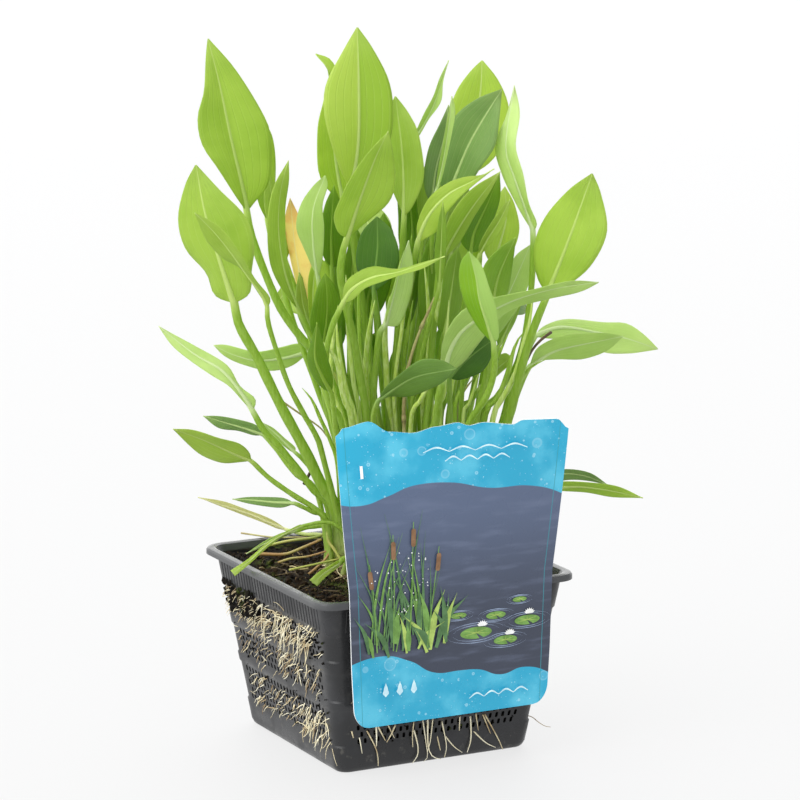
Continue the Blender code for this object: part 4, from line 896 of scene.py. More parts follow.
    words = node.split("_")
    leaf = pieceFrom(bm, words[0] + "".join(w.capitalize() for w in words[1:]), leafMaterials[look])
    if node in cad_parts:
        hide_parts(node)


# leaves deep inside the clump, in the same order of values, but read in the photo's pixels
innerLeaves = [
    ("inner_one", "left", 1, 2,
     ((330, 420), (322, 372)),
     ((318, 345), (314, 320), (313, 290), (317, 254)),
     ((311, 330), (308, 300), (309, 274)),
     ((322, 330), (330, 300), (330, 270)),
     (-14, -18, -22), (2, 2), 3, "lime"),
    ("inner_two", "left", 0, 2,
     ((345, 420), (338, 360), (334, 300)),
     ((332, 268), (331, 240), (332, 215), (334, 185)),
     ((323, 255), (321, 228), (325, 205)),
     ((342, 262), (345, 235), (342, 208)),
     (-18, -22, -26), (3, -3), 3, "shade"),
    ("inner_three", "left", 2, 2,
     ((352, 420), (350, 360), (350, 320)),
     ((352, 300), (352, 275), (354, 252), (357, 228)),
     ((345, 290), (344, 268), (348, 248)),
     ((362, 285), (367, 262), (364, 243)),
     (-12, -16, -20), (3, -3), 3, "shade"),
    ("inner_four", "middle", 0, 9,
     ((380, 424), (372, 380), (366, 340)),
     ((366, 318), (368, 296), (374, 276), (384, 212)),
     ((360, 302), (361, 282), (368, 240)),
     ((380, 312), (390, 285), (395, 240)),
     (-26, -32, -40), (4, -4), 3, "shade"),
    ("inner_five", "middle", 1, 6,
     ((398, 424), (396, 385), (396, 350)),
     ((398, 330), (404, 300), (409, 270), (412, 235)),
     ((392, 318), (395, 290), (402, 258)),
     ((410, 325), (419, 295), (418, 262)),
     (6, 4, 0), (4, -4), 3, "shade"),
    ("inner_six", "middle", 1, 5,
     ((414, 424), (420, 385), (424, 350)),
     ((426, 330), (428, 300), (428, 270), (430, 236)),
     ((419, 318), (418, 288), (422, 258)),
     ((433, 318), (437, 285), (436, 258)),
     (4, 2, -2), (3, -3), 3, "shade"),
    ("inner_seven", "middle", 2, 4,
     ((425, 424), (434, 385), (440, 355)),
     ((444, 335), (449, 305), (453, 278), (458, 246)),
     ((437, 325), (439, 295), (446, 265)),
     ((453, 330), (462, 300), (463, 268)),
     (0, -4, -8), (4, -4), 3.2, "mid"),
    ("inner_eight", "right", 0, 3,
     ((450, 424), (462, 390), (474, 365)),
     ((482, 350), (497, 318), (512, 286), (531, 244)),
     ((488, 325), (501, 290), (514, 258)),
     ((498, 335), (520, 305), (532, 270)),
     (-18, -22, -28), (5, -4), 3.2, "pale"),
    ("inner_nine", "right", 2, 1,
     ((455, 424), (472, 400)),
     ((480, 388), (490, 376), (500, 366), (512, 357)),
     ((487, 372), (496, 358), (505, 353)),
     ((492, 380), (502, 372), (509, 365)),
     (-12, -16, -20), (3, -2), 2.8, "fresh"),
    ("inner_ten", "right", 1, 12,
     ((462, 424), (484, 385), (492, 362)),
     ((498, 348), (505, 332), (512, 318), (522, 302)),
     ((497, 334), (504, 320), (513, 309)),
     ((504, 342), (512, 328), (518, 314)),
     (-24, -30, -36), (3, -3), 2.8, "mid"),
    ("inner_eleven", "right", 1, 9,
     ((440, 424), (452, 390), (458, 360)),
     ((462, 338), (463, 316), (461, 296), (458, 270)),
     ((452, 326), (447, 306), (449, 286)),
     ((474, 330), (478, 306), (470, 286)),
     (-8, -12, -16), (4, -4), 3.2, "fresh"),
    ("inner_twelve", "middle", 0, 2,
     ((400, 424), (406, 350), (408, 290)),
     ((410, 258), (412, 232), (410, 206), (404, 168)),
     ((400, 246), (398, 218), (398, 192)),
     ((420, 248), (424, 218), (418, 190)),
     (-34, -40, -46), (5, -4), 3.2, "shade"),
    ("inner_thirteen", "left", 1, 11,
     ((335, 420), (315, 350), (296, 292)),
     ((286, 262), (279, 236), (274, 212), (268, 172)),
     ((276, 250), (268, 225), (264, 198)),
     ((290, 246), (286, 220), (279, 195)),
     (-34, -40, -48), (4, -4), 3, "fresh"),
    ("inner_fourteen", "middle", 1, 1,
     ((420, 424), (424, 350), (425, 270)),
     ((426, 232), (428, 205), (432, 180), (438, 146)),
     ((419, 218), (417, 192), (424, 168)),
     ((434, 222), (441, 196), (442, 170)),
     (-36, -42, -48), (4, -4), 3, "fresh"),
    ("inner_sixteen", "middle", 1, 11,
     ((372, 424), (362, 385), (358, 360)),
     ((356, 345), (356, 325), (360, 305), (366, 282)),
     ((346, 335), (345, 315), (351, 296)),
     ((368, 335), (372, 315), (372, 296)),
     (-40, -46, -52), (4, -4), 3, "shade"),
    ("inner_seventeen", "middle", 2, 12,
     ((405, 424), (410, 385), (412, 365)),
     ((412, 350), (411, 325), (414, 300), (420, 268)),
     ((402, 338), (400, 312), (406, 288)),
     ((424, 338), (427, 312), (425, 288)),
     (-40, -46, -54), (5, -4), 3.2, "mid"),
    ("inner_eighteen", "middle", 1, 12,
     ((395, 424), (398, 410)),
     ((400, 400), (400, 378), (403, 355), (410, 330)),
     ((391, 390), (388, 370), (394, 350)),
     ((412, 390), (416, 368), (414, 348)),
     (-30, -36, -42), (4, -4), 3, "mid"),
    ("inner_nineteen", "right", 1, 11,
     ((450, 424), (460, 390), (468, 365)),
     ((472, 348), (482, 330), (488, 312), (494, 290)),
     ((462, 336), (468, 318), (478, 300)),
     ((486, 344), (498, 326), (498, 306)),
     (-34, -40, -48), (4, -4), 3.2, "shade"),
    ("inner_twenty", "left", 1, 1,
     ((345, 420), (338, 390), (334, 370)),
     ((332, 352), (332, 330), (336, 308), (340, 282)),
     ((323, 340), (322, 318), (330, 296)),
     ((344, 342), (347, 318), (345, 298)),
     (-32, -38, -44), (4, -4), 3, "shade"),
    ("inner_twentyone", "middle", 2, 1,
     ((425, 424), (432, 400)),
     ((436, 385), (440, 365), (444, 345), (446, 318)),
     ((427, 372), (430, 352), (437, 332)),
     ((450, 374), (456, 352), (452, 330)),
     (-34, -40, -46), (4, -4), 3, "mid"),
    ("inner_twentytwo", "left", 2, 1,
     ((352, 424), (356, 400)),
     ((358, 388), (362, 368), (368, 350), (376, 332)),
     ((350, 376), (354, 356), (364, 340)),
     ((370, 380), (378, 360), (378, 344)),
     (-30, -34, -40), (4, -4), 3, "shade"),
    ("inner_twentythree", "middle", 0, 1,
     ((412, 424), (416, 360), (420, 310)),
     ((424, 282), (430, 256), (436, 232), (440, 205)),
     ((416, 270), (420, 244), (430, 220)),
     ((434, 276), (442, 250), (444, 225)),
     (-44, -50, -56), (5, -4), 3.2, "shade"),
    ("inner_twentyfour", "left", 1, 5,
     ((348, 424), (330, 385), (322, 362)),
     ((316, 344), (308, 322), (302, 300), (299, 272)),
     ((306, 334), (297, 312), (296, 290)),
     ((324, 336), (318, 312), (310, 290)),
     (-18, -24, -30), (4, -4), 3, "olive"),
    ("inner_twentyfive", "left", 1, 12,
     ((350, 424), (342, 360), (338, 322)),
     ((336, 304), (334, 282), (334, 258), (337, 232)),
     ((326, 292), (324, 268), (329, 245)),
     ((343, 292), (344, 268), (341, 245)),
     (-24, -30, -36), (4, -4), 3, "mid"),
    ("inner_twentysix", "middle", 0, 12,
     ((398, 424), (398, 380), (398, 345)),
     ((398, 330), (398, 305), (397, 280), (396, 252)),
     ((388, 318), (386, 292), (389, 265)),
     ((409, 318), (410, 292), (404, 266)),
     (-34, -40, -46), (4, -4), 3, "fresh"),
    ("inner_twentyseven", "right", 1, 12,
     ((450, 424), (458, 380), (462, 330)),
     ((464, 304), (466, 282), (469, 255), (473, 228)),
     ((455, 290), (455, 262), (462, 240)),
     ((477, 292), (482, 264), (482, 240)),
     (-30, -36, -42), (4, -4), 3, "fresh"),
    ("inner_fifteen", "right", 0, 9,
     ((440, 424), (445, 360), (447, 300)),
     ((449, 262), (453, 236), (459, 212), (468, 180)),
     ((441, 248), (443, 222), (452, 198)),
     ((458, 250), (466, 226), (470, 202)),
     (-22, -26, -30), (4, -4), 3, "olive"),
]

# stalks of hidden leaves: crown, ring, hour, width, depth at their head, finish (0 painted lit, 1 painted shade, 2
# dry), readings
hiddenStalks = [
    ("left", 0, 5, 2.7, -10, 1, ((333, 424), (324, 392), (315, 361), (306, 330))),
    ("left", 2, 3, 2.7, 26, 0, ((345, 424), (335, 398), (331, 372), (333, 340), (338, 305))),
    ("left", 1, 4, 3.2, 34, 0, ((352, 424), (345, 402), (342, 390), (338, 365), (330, 350), (318, 338))),
    ("left", 2, 4, 2.3, 30, 0, ((357, 424), (348, 395), (343, 372), (338, 345), (336, 310))),
    ("left", 1, 3, 2.7, 18, 0, ((361, 424), (354, 385), (350, 350), (347, 310), (346, 275))),
    ("left", 2, 2, 2.7, 8, 1, ((366, 424), (362, 385), (360, 340), (359, 300), (360, 262))),
    ("middle", 2, 8, 3.6, 24, 0, ((372, 424), (366, 400), (362, 372), (356, 345), (347, 312), (342, 290))),
    ("middle", 1, 8, 2.7, 2, 1, ((380, 424), (372, 385), (370, 350), (372, 310), (378, 275))),
    ("middle", 2, 9, 3.2, 16, 0, ((377, 424), (367, 392), (366, 360), (369, 330), (375, 300))),
    ("middle", 0, 3, 3.6, 14, 0, ((392, 424), (388, 395), (386, 362), (385, 330), (390, 296))),
    ("middle", 1, 7, 2.3, 20, 0, ((396, 424), (394, 400), (396, 370), (401, 335), (405, 300), (408, 260))),
    ("middle", 1, 3, 3.2, 8, 1, ((407, 424), (404, 395), (404, 360), (408, 330), (413, 300))),
    ("middle", 2, 6, 2.7, 34, 0, ((411, 424), (418, 405), (425, 392), (433, 382), (440, 370))),
    ("middle", 2, 3, 2.7, 16, 0, ((423, 424), (424, 398), (427, 365), (429, 340), (428, 300), (424, 262))),
    ("middle", 2, 4, 2.7, 22, 0, ((432, 424), (431, 395), (432, 360), (434, 330), (440, 290), (444, 255))),
    ("right", 2, 8, 2.7, 12, 0, ((440, 424), (440, 395), (442, 365), (447, 330), (449, 300))),
    ("right", 2, 7, 3.6, 28, 0, ((436, 424), (442, 398), (450, 370), (462, 344), (474, 330))),
    ("right", 1, 7, 2.7, 20, 0, ((450, 424), (450, 398), (454, 375), (462, 350))),
    ("right", 1, 6, 2.7, 8, 1, ((455, 424), (457, 400), (464, 384), (474, 372))),
    ("right", 0, 6, 2.7, 4, 2, ((456, 424), (459, 402), (463, 392), (474, 378))),
    ("right", 2, 5, 2.3, 12, 0, ((463, 424), (470, 402), (474, 388), (478, 375))),
    ("right", 1, 4, 2.7, 0, 1, ((473, 424), (484, 400), (490, 378), (500, 352), (510, 330))),
    ("right", 2, 3, 3.2, 4, 1, ((484, 424), (498, 398), (508, 372), (513, 352), (518, 340), (524, 332))),
    ("right", 2, 4, 3.2, 12, 0, ((492, 424), (505, 395), (516, 372), (522, 350), (530, 320), (532, 300))),
    ("right", 1, 3, 2.7, -6, 1, ((480, 424), (495, 398), (505, 384), (514, 366), (518, 352))),
    ("right", 2, 2, 2.7, -4, 1, ((503, 424), (508, 405), (518, 385), (530, 368), (545, 360))),
    ("left", 2, 8, 2.3, 4, 1, ((338, 470), (330, 440), (321, 420), (312, 400), (302, 388))),
]

for row in leafTable:
    growLeaf(*row)
for node, crown, ring, hour, *lines, depth, lift, width, look in innerLeaves:
    growLeaf(node, crown, ring, hour, *(fromPhoto(*line) for line in lines), depth, lift, width, look)

stalkMaterials = []
# the first two are one stalk green painted lit and painted in shade, for stalks in light and stalks behind them
for name, first, second in (("petiolePaintedLit", (0.52, 0.70, 0.12), (0.66, 0.80, 0.27)),
                            ("petiolePaintedShade", (0.25, 0.43, 0.03), (0.36, 0.54, 0.07)),
                            ("petioleDry", (0.44, 0.36, 0.15), (0.34, 0.42, 0.10))):
    material, tree, shader = newMaterial(name, 0.4)
    streaks = streaksOn(tree)
    tree.links.new(blendColours(tree, streaks, first, second), shader.inputs["Base Color"])
    shader.inputs["Specular IOR Level"].default_value = stalkLook["specular"]
    addBump(tree, shader, streaks, 0.00012, 0.5)
    stalkMaterials.append(material)
bm = bmesh.new()
for crown, ring, hour, width, depth, slot, points in hiddenStalks:
    foot = footPlace(crown, ring, hour)
    line = evenLine([reading(*foot)] + fromPhoto(*points), 27)
    places = [seen(p.x, p.y, mix(foot[1], depth, (k / 26) ** 1.5)) for k, p in enumerate(line)]
    addStrand(bm, places, width / 2, 9, 0.0, slot, young=0.16)
pieceFrom(bm, "hiddenStalks", *stalkMaterials)
print("leaves grown:", len(leafTable) + len(innerLeaves))


# Basket: one perforated wall with its lip, a perforated floor and the ribs under the lip

basket = {
    "rimSide": 130.0, "height": 84.1, "footSide": 96.5, "topSide": 123.0, "footCorner": 6.0, "rimCorner": 9.5,
    "wall": 1.0, "floor": 1.8, "setBack": 0.5, "sideCells": 54, "cornerCells": 7, "plainCells": 2,
    "bands": ((12.5, 31.0, 5), (34.5, 49.0, 4), (54.0, 67.5, 4)),      # foot, head, rows of holes
    "holeInset": 0.13, "holeHeight": 0.80, "holeCorner": 0.36,
    "ribs": 35, "ribZone": (68.9, 79.3), "ribWidth": 0.85, "ribOut": 0.30,
    "ribNarrow": 0.55, "ribEdge": 0.14, "ribSink": 0.05, "creases": 38,
    "plateInset": 5.0, "plateCorner": 4.0, "plateCells": 30, "plateHole": 0.55,
    "colour": (0.023, 0.0235, 0.0248), "worn": (0.036, 0.037, 0.040), "dust": (0.12, 0.115, 0.10),
    # the lip's colour below paints a sheen, and the holes' colour a shade
    "lipPaintedSheen": (0.066, 0.068, 0.070), "lipFrom": (0.0803, 0.0812), "inHole": (0.004, 0.004, 0.0045),
}


def wallAt(z):
    share = z / basket["height"]
    return (mix(basket["footSide"], basket["topSide"], share),
            mix(basket["footCorner"], 8.2, share))


def roundSquare(side, corner, cell):
    # one place on a square with round corners, counted in wall cells from the -Y side's left end
    quarter, step = divmod(cell, basket["sideCells"] + basket["cornerCells"])
    reach = side / 2 - corner
    if step <= basket["sideCells"]:
        x, y = mix(-reach, reach, step / basket["sideCells"]), -side / 2
    else:
        angle = math.radians(90 * (step - basket["sideCells"]) / basket["cornerCells"] - 90)
        x, y = reach + corner * math.cos(angle), -reach + corner * math.sin(angle)
    for _ in range(quarter % 4):
        x, y = -y, x
    return x, y


def roundOff(x, y, reach, corner):
    # pulls a place that lies past a square's round corner back onto it
    out = Vector((max(abs(x) - reach, 0), max(abs(y) - reach, 0)))
    if out.length <= corner:
        return x, y
    out *= corner / out.length
    return math.copysign(reach + out.x, x), math.copysign(reach + out.y, y)


def wallRows():
    # (height, side, corner, row of holes above it) from the foot to the lip's skirt
    rows = [(0.0, wallAt(0)[0] - 5.0, 4.0, None), (0.35, wallAt(0)[0] - 2.6, 5.0, None),
            (1.1, wallAt(0)[0] - 0.9, 5.6, None)]
    for z in (3.0, 7.5):
        rows.append((z,) + wallAt(z) + (None,))
    for foot, head, count in basket["bands"]:
        rows.append((foot,) + wallAt(foot) + (None,))
        for k in range(count + 1):
            z = mix(foot + 0.9, head - 0.9, k / count)
            side, corner = wallAt(z)
            rows.append((z, side - 2 * basket["setBack"], corner, k if k < count else None))
        rows.append((head,) + wallAt(head) + (None,))
    for z in (73.0, 78.0, 80.6):
        rows.append((z,) + wallAt(z) + (None,))
    lip, corner = basket["rimSide"] - 2 * basket["wall"], basket["rimCorner"] - 1.5
    under = basket["height"] - basket["wall"]
    top = wallAt(basket["height"])[0]
    for z, side in ((under - 0.9, top + 0.1), (under - 0.25, top + 0.7), (under, top + 2.0), (under, lip - 1.5),
                    (under - 0.2, lip - 0.5), (under - 0.7, lip), (basket["height"] - 3.2, lip)):
        rows.append((z, side, corner, None))
    return rows


def makeBasket():
    rows = wallRows()
    around = 4 * (basket["sideCells"] + basket["cornerCells"])
    bpy.ops.mesh.primitive_grid_add(x_subdivisions=around, y_subdivisions=len(rows) - 1, size=1)
    wall = bpy.context.object
    mesh = wall.data
    editMesh(("select_mode", {"type": "FACE"}), selectNone)
    cells = basket["sideCells"] + basket["cornerCells"]
    for face in mesh.polygons:
        cell, row = face.index % around, face.index // around
        step, hole = cell % cells, rows[row][3]
        onSide = basket["plainCells"] <= step < basket["sideCells"] - basket["plainCells"]
        face.select = hole is not None and onSide and (step + hole) % 2 == 0
    for vert in mesh.vertices:
        cell, row = round((vert.co.x + 0.5) * around), round((vert.co.y + 0.5) * (len(rows) - 1))
        z, side, corner, _ = rows[row]
        x, y = roundSquare(side, corner, cell % around)
        vert.co = Vector((x, y, z)) * mm
    editMesh(("inset", {"thickness": basket["holeInset"] * mm, "use_individual": True}))
    for face in mesh.polygons:                            # the holes are lower than their cells
        if face.select:
            for v in face.vertices:
                mesh.vertices[v].co.z = mix(face.center.z, mesh.vertices[v].co.z, basket["holeHeight"])
    editMesh(("bevel", {"offset": basket["holeCorner"] * mm, "affect": "VERTICES", "segments": 1}), selectNone,
             ("select_face_by_sides", {"number": 8}), ("delete", {"type": "FACE"}), selectAll,
             ("remove_doubles", {"threshold": 0.01 * mm}))
    mesh.materials.append(basketPlastic)
    mesh.materials.append(holeSide)
    thicken(wall, basket["wall"], -1, use_even_offset=True, material_offset_rim=1)

    plateSide = basket["footSide"] - basket["plateInset"]
    corner, count = basket["plateCorner"], basket["plateCells"]
    bpy.ops.mesh.primitive_grid_add(x_subdivisions=count, y_subdivisions=count, size=plateSide * mm)
    plate = bpy.context.object
    editMesh(selectNone)
    for face in plate.data.polygons:
        row, column = divmod(face.index, count)
        far, near = sorted((abs(column - (count - 1) / 2), abs(row - (count - 1) / 2)), reverse=True)
        face.select = 3 < far < 12 and near > 1 and (column + row) % 2 == 0
    for vert in plate.data.vertices:
        x, y = roundOff(vert.co.x / mm, vert.co.y / mm, plateSide / 2 - corner, corner)
        vert.co.x, vert.co.y = x * mm, y * mm
    editMesh(("inset", {"thickness": basket["plateHole"] * mm, "use_individual": True}),
             ("delete", {"type": "FACE"}))
    plate.data.materials.append(basketPlastic)
    thicken(plate, basket["floor"], 1)

    low, high = basket["ribZone"]
    bpy.ops.mesh.primitive_cube_add(size=1)
    rib = bpy.context.object
    for vert in rib.data.vertices:
        narrow = basket["ribNarrow"] if vert.co.y < 0 else 1.0
        vert.co = Vector((vert.co.x * basket["ribWidth"] * narrow,
                          vert.co.y * 2 * basket["ribOut"], vert.co.z * (high - low))) * mm
    editMesh(selectAll, ("bevel", {"offset": basket["ribEdge"] * mm, "segments": 1}))
    middle = (low + high) / 2
    side, corner = wallAt(middle)
    lean = math.atan((basket["topSide"] - basket["footSide"]) / 2 / basket["height"])
    rib.data.materials.append(basketPlastic)
    ribs = [rib]
    for quarter in range(4):
        for k in range(basket["ribs"]):
            x = mix(-1, 1, (k + 0.5) / basket["ribs"]) * (side / 2 - corner)
            place = (Matrix.Rotation(math.radians(90 * quarter), 4, "Z")
                     @ Matrix.Translation(Vector((x, basket["ribSink"] - side / 2, middle)) * mm)
                     @ Matrix.Rotation(lean, 4, "X"))
            copy = rib.copy()
            copy.data = rib.data.copy()
            copy.data.transform(place)
            bpy.context.scene.collection.objects.link(copy)
            ribs.append(copy)
    bpy.data.objects.remove(ribs.pop(0), do_unlink=True)

    bpy.ops.object.select_all(action="DESELECT")
    for part in [plate] + ribs + [wall]:
        part.select_set(True)
    bpy.context.view_layer.objects.active = wall
    bpy.ops.object.join()
    bpy.ops.object.shade_smooth_by_angle(angle=math.radians(basket["creases"]))
    wall.name = "basketShell"
    wall.select_set(False)
    return wall


basketPlastic, tree, shader = newMaterial("blackPlastic", 0.36)
smear = between(tree, noiseOn(tree, 42.0, 5.0), 0.42, 0.72)
colour = blendColours(tree, smear, basket["colour"], basket["worn"])
dusty = between(tree, noiseOn(tree, 230.0, 4.0), 0.60, 0.74)
height = heightOf(tree)
lowDown = between(tree, height, 0.0, 0.045, 0.55, 0.10)
colour = blendColours(tree, sumNode(tree, "MULTIPLY", dusty, lowDown), colour, basket["dust"])
lipTop = between(tree, height, *basket["lipFrom"])         # the lip is painted lighter, a painted sheen, and made glossier
# painted sheen: the lip is coloured a lighter grey than the plastic
colour = blendColours(tree, lipTop, colour, basket["lipPaintedSheen"])
tree.links.new(colour, shader.inputs["Base Color"])
gloss = between(tree, noiseOn(tree, 90.0, 4.0), 0.35, 0.70, 0.20, 0.44)
shader.inputs["Specular IOR Level"].default_value = 0.36
gloss = sumNode(tree, "SUBTRACT", gloss, sumNode(tree, "MULTIPLY", lipTop, 0.08))
tree.links.new(gloss, shader.inputs["Roughness"])
addBump(tree, shader, noiseOn(tree, 1500.0, 3.0), 0.00006, 0.5)

# the holes' cut sides are painted near black and dull, a painted shade inside the holes
holeSide, tree, shader = newMaterial("holeSide", 0.8)
shader.inputs["Base Color"].default_value = basket["inHole"] + (1,)
shader.inputs["Specular IOR Level"].default_value = 0.1

shell = makeBasket()
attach(shell, "root")
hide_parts("basket")
print("basket made")


# Soil: a block that fills the basket, crumbs and litter on it, roots through the holes

soil = {
    "top": 79.4, "gap": 0.35, "cuts": 78, "roughness": 1.5,
    "crumbs": 1500, "crumbSize": (0.35, 1.25), "clods": 60, "clodSize": (1.5, 2.9),
    "twigs": 150, "twigLength": (3.0, 11.0), "twigRadius": (0.16, 0.5),
    "dark": (0.004, 0.003, 0.002), "brown": (0.020, 0.012, 0.006), "fleck": (0.24, 0.16, 0.07),
    "algae": (0.060, 0.085, 0.012),
}


def soilMaterial(name, dark, brown, fleckShare):
    material, tree, shader = newMaterial(name, 0.88)
    colour = blendColours(tree, between(tree, noiseOn(tree, 170.0, 6.0), 0.38, 0.66), dark, brown)
    flecks = between(tree, noiseOn(tree, 620.0, 3.0), fleckShare, fleckShare + 0.05)
    colour = blendColours(tree, flecks, colour, soil["fleck"])
    green = sumNode(tree, "MULTIPLY", between(tree, noiseOn(tree, 48.0, 3.0), 0.54, 0.66),
                    between(tree, noiseOn(tree, 420.0, 3.0), 0.42, 0.58))
    colour = blendColours(tree, sumNode(tree, "MULTIPLY", green, 0.65), colour, soil["algae"])
    tree.links.new(colour, shader.inputs["Base Color"])
    shader.inputs["Specular IOR Level"].default_value = 0.12
    addBump(tree, shader, noiseOn(tree, 900.0, 6.0), 0.0006, 0.9)
    return material


darkSoil = soilMaterial("darkSoil", soil["dark"], soil["brown"], 0.66)
peat = soilMaterial("peatCrumb", (0.006, 0.004, 0.003), (0.034, 0.020, 0.009), 0.63)
wetCrumb = soilMaterial("wetCrumb", (0.003, 0.0025, 0.002), (0.014, 0.011, 0.008), 0.72)


def rough(x, y, z, scale, height):
    return noise.fractal(Vector((x, y, z)) * scale, 0.9, 2.1, 4) * height


def soilTop(x, y):
    return soil["top"] + rough(x, y, 3.0, 0.07, soil["roughness"]) + rough(x, y, 9.0, 0.35, 0.55)


bpy.ops.mesh.primitive_cube_add(size=1)
block = bpy.context.object
editMesh(selectAll, ("subdivide", {"number_cuts": soil["cuts"]}))
for vert in block.data.vertices:
    x, y, up = vert.co.x, vert.co.y, vert.co.z + 0.5
    z = mix(basket["floor"] + 0.3, soil["top"], up)
    side, corner = wallAt(z)
    half = side / 2 - basket["wall"] - soil["gap"]
    if z < basket["bands"][-1][1] + 0.5:
        half -= basket["setBack"]
    reach = half - corner + 1.5
    px, py = roundOff(2 * x * half, 2 * y * half, reach, half - reach)
    if up > 0.999:
        z = soilTop(px, py)
    elif max(abs(x), abs(y)) > 0.499:                     # crumbly sides behind the holes
        dent = 1 - abs(rough(px, py, z, 0.30, 0.9)) * 1.6 / half
        px, py = px * dent, py * dent
    vert.co = Vector((px, py, z)) * mm
block.name = "soilBlock"
block.data.materials.append(darkSoil)
block.data.materials.append(holeSide)
# the soil's sides, seen through the holes, take the same near-black painted shade
for face in block.data.polygons:
    face.material_index = 0 if face.normal.z > 0.5 else 1
bpy.ops.object.shade_smooth()
block.select_set(False)
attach(block, "root")
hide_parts("soil")

rnd = random.Random(11)


def crumbMesh(radius, flat):
    bpy.ops.mesh.primitive_ico_sphere_add(subdivisions=1, radius=radius * mm)
    lump = bpy.context.object
    for vert in lump.data.vertices:
        vert.co *= rnd.uniform(0.72, 1.25)
        vert.co.z *= flat
    mesh = lump.data
    bpy.data.objects.remove(lump, do_unlink=True)
    return mesh


def scatter(name, places, meshes, material):
    # many copies of a few small meshes as one piece; places are (x, y, z, size)
    bm = bmesh.new()
    for x, y, z, size in places:
        start = len(bm.verts)
        bm.from_mesh(rnd.choice(meshes))
        turned = Matrix.Rotation(rnd.uniform(0, 6.28), 3, Vector((rnd.random(), rnd.random(), rnd.random() + 0.1)))
        bm.verts.ensure_lookup_table()
        for vert in bm.verts[start:]:
            vert.co = turned @ vert.co * size + Vector((x, y, z)) * mm
    piece = pieceFrom(bm, name, material)
    for face in piece.data.polygons:
        face.use_smooth = False


def onSoil(margin=2.5):
    half = wallAt(soil["top"])[0] / 2 - basket["wall"] - margin
    return rnd.uniform(-half, half), rnd.uniform(-half, half)


crumbMeshes = [crumbMesh(1.0, rnd.uniform(0.55, 0.95)) for _ in range(6)]
places = []
for _ in range(soil["crumbs"]):
    x, y = onSoil()
    places.append((x, y, soilTop(x, y) + 0.25, rnd.uniform(*soil["crumbSize"])))
for _ in range(soil["clods"]):
    x, y = onSoil(5.0)
    places.append((x, y, soilTop(x, y) + 0.6, rnd.uniform(*soil["clodSize"])))
scatter("soilCrumbs", places, crumbMeshes, peat)


def plainMaterial(name, first, second, scale, roughness=0.7):
    material, tree, shader = newMaterial(name, roughness)
    colour = blendColours(tree, between(tree, noiseOn(tree, scale, 3.0), 0.35, 0.65), first, second)
    tree.links.new(colour, shader.inputs["Base Color"])
    addBump(tree, shader, noiseOn(tree, scale * 6, 2.0), 0.00008, 0.6)
    return material


twigBrown = plainMaterial("twigBrown", (0.055, 0.036, 0.016), (0.18, 0.125, 0.055), 120.0, 0.8)
straw = plainMaterial("strawFibre", (0.50, 0.40, 0.17), (0.72, 0.62, 0.34), 90.0, 0.65)
bm = bmesh.new()
for _ in range(soil["twigs"]):
    x, y = onSoil(6.0)
    angle, length = rnd.uniform(0, 6.28), rnd.uniform(*soil["twigLength"])
    points = []
    for k in range(5):
        along = length * (k / 4 - 0.5)
        px = x + math.cos(angle) * along + rnd.uniform(-0.5, 0.5)
        py = y + math.sin(angle) * along + rnd.uniform(-0.5, 0.5)
        points.append(Vector((px, py, soilTop(px, py) + 0.6 + rnd.uniform(0, 0.9))))
    addStrand(bm, points, rnd.uniform(*soil["twigRadius"]), 5, 0.5, slot=0 if rnd.random() < 0.86 else 1)
pieceFrom(bm, "soilTwigs", twigBrown, straw)
print("soil made")


# Roots that have grown out through the holes

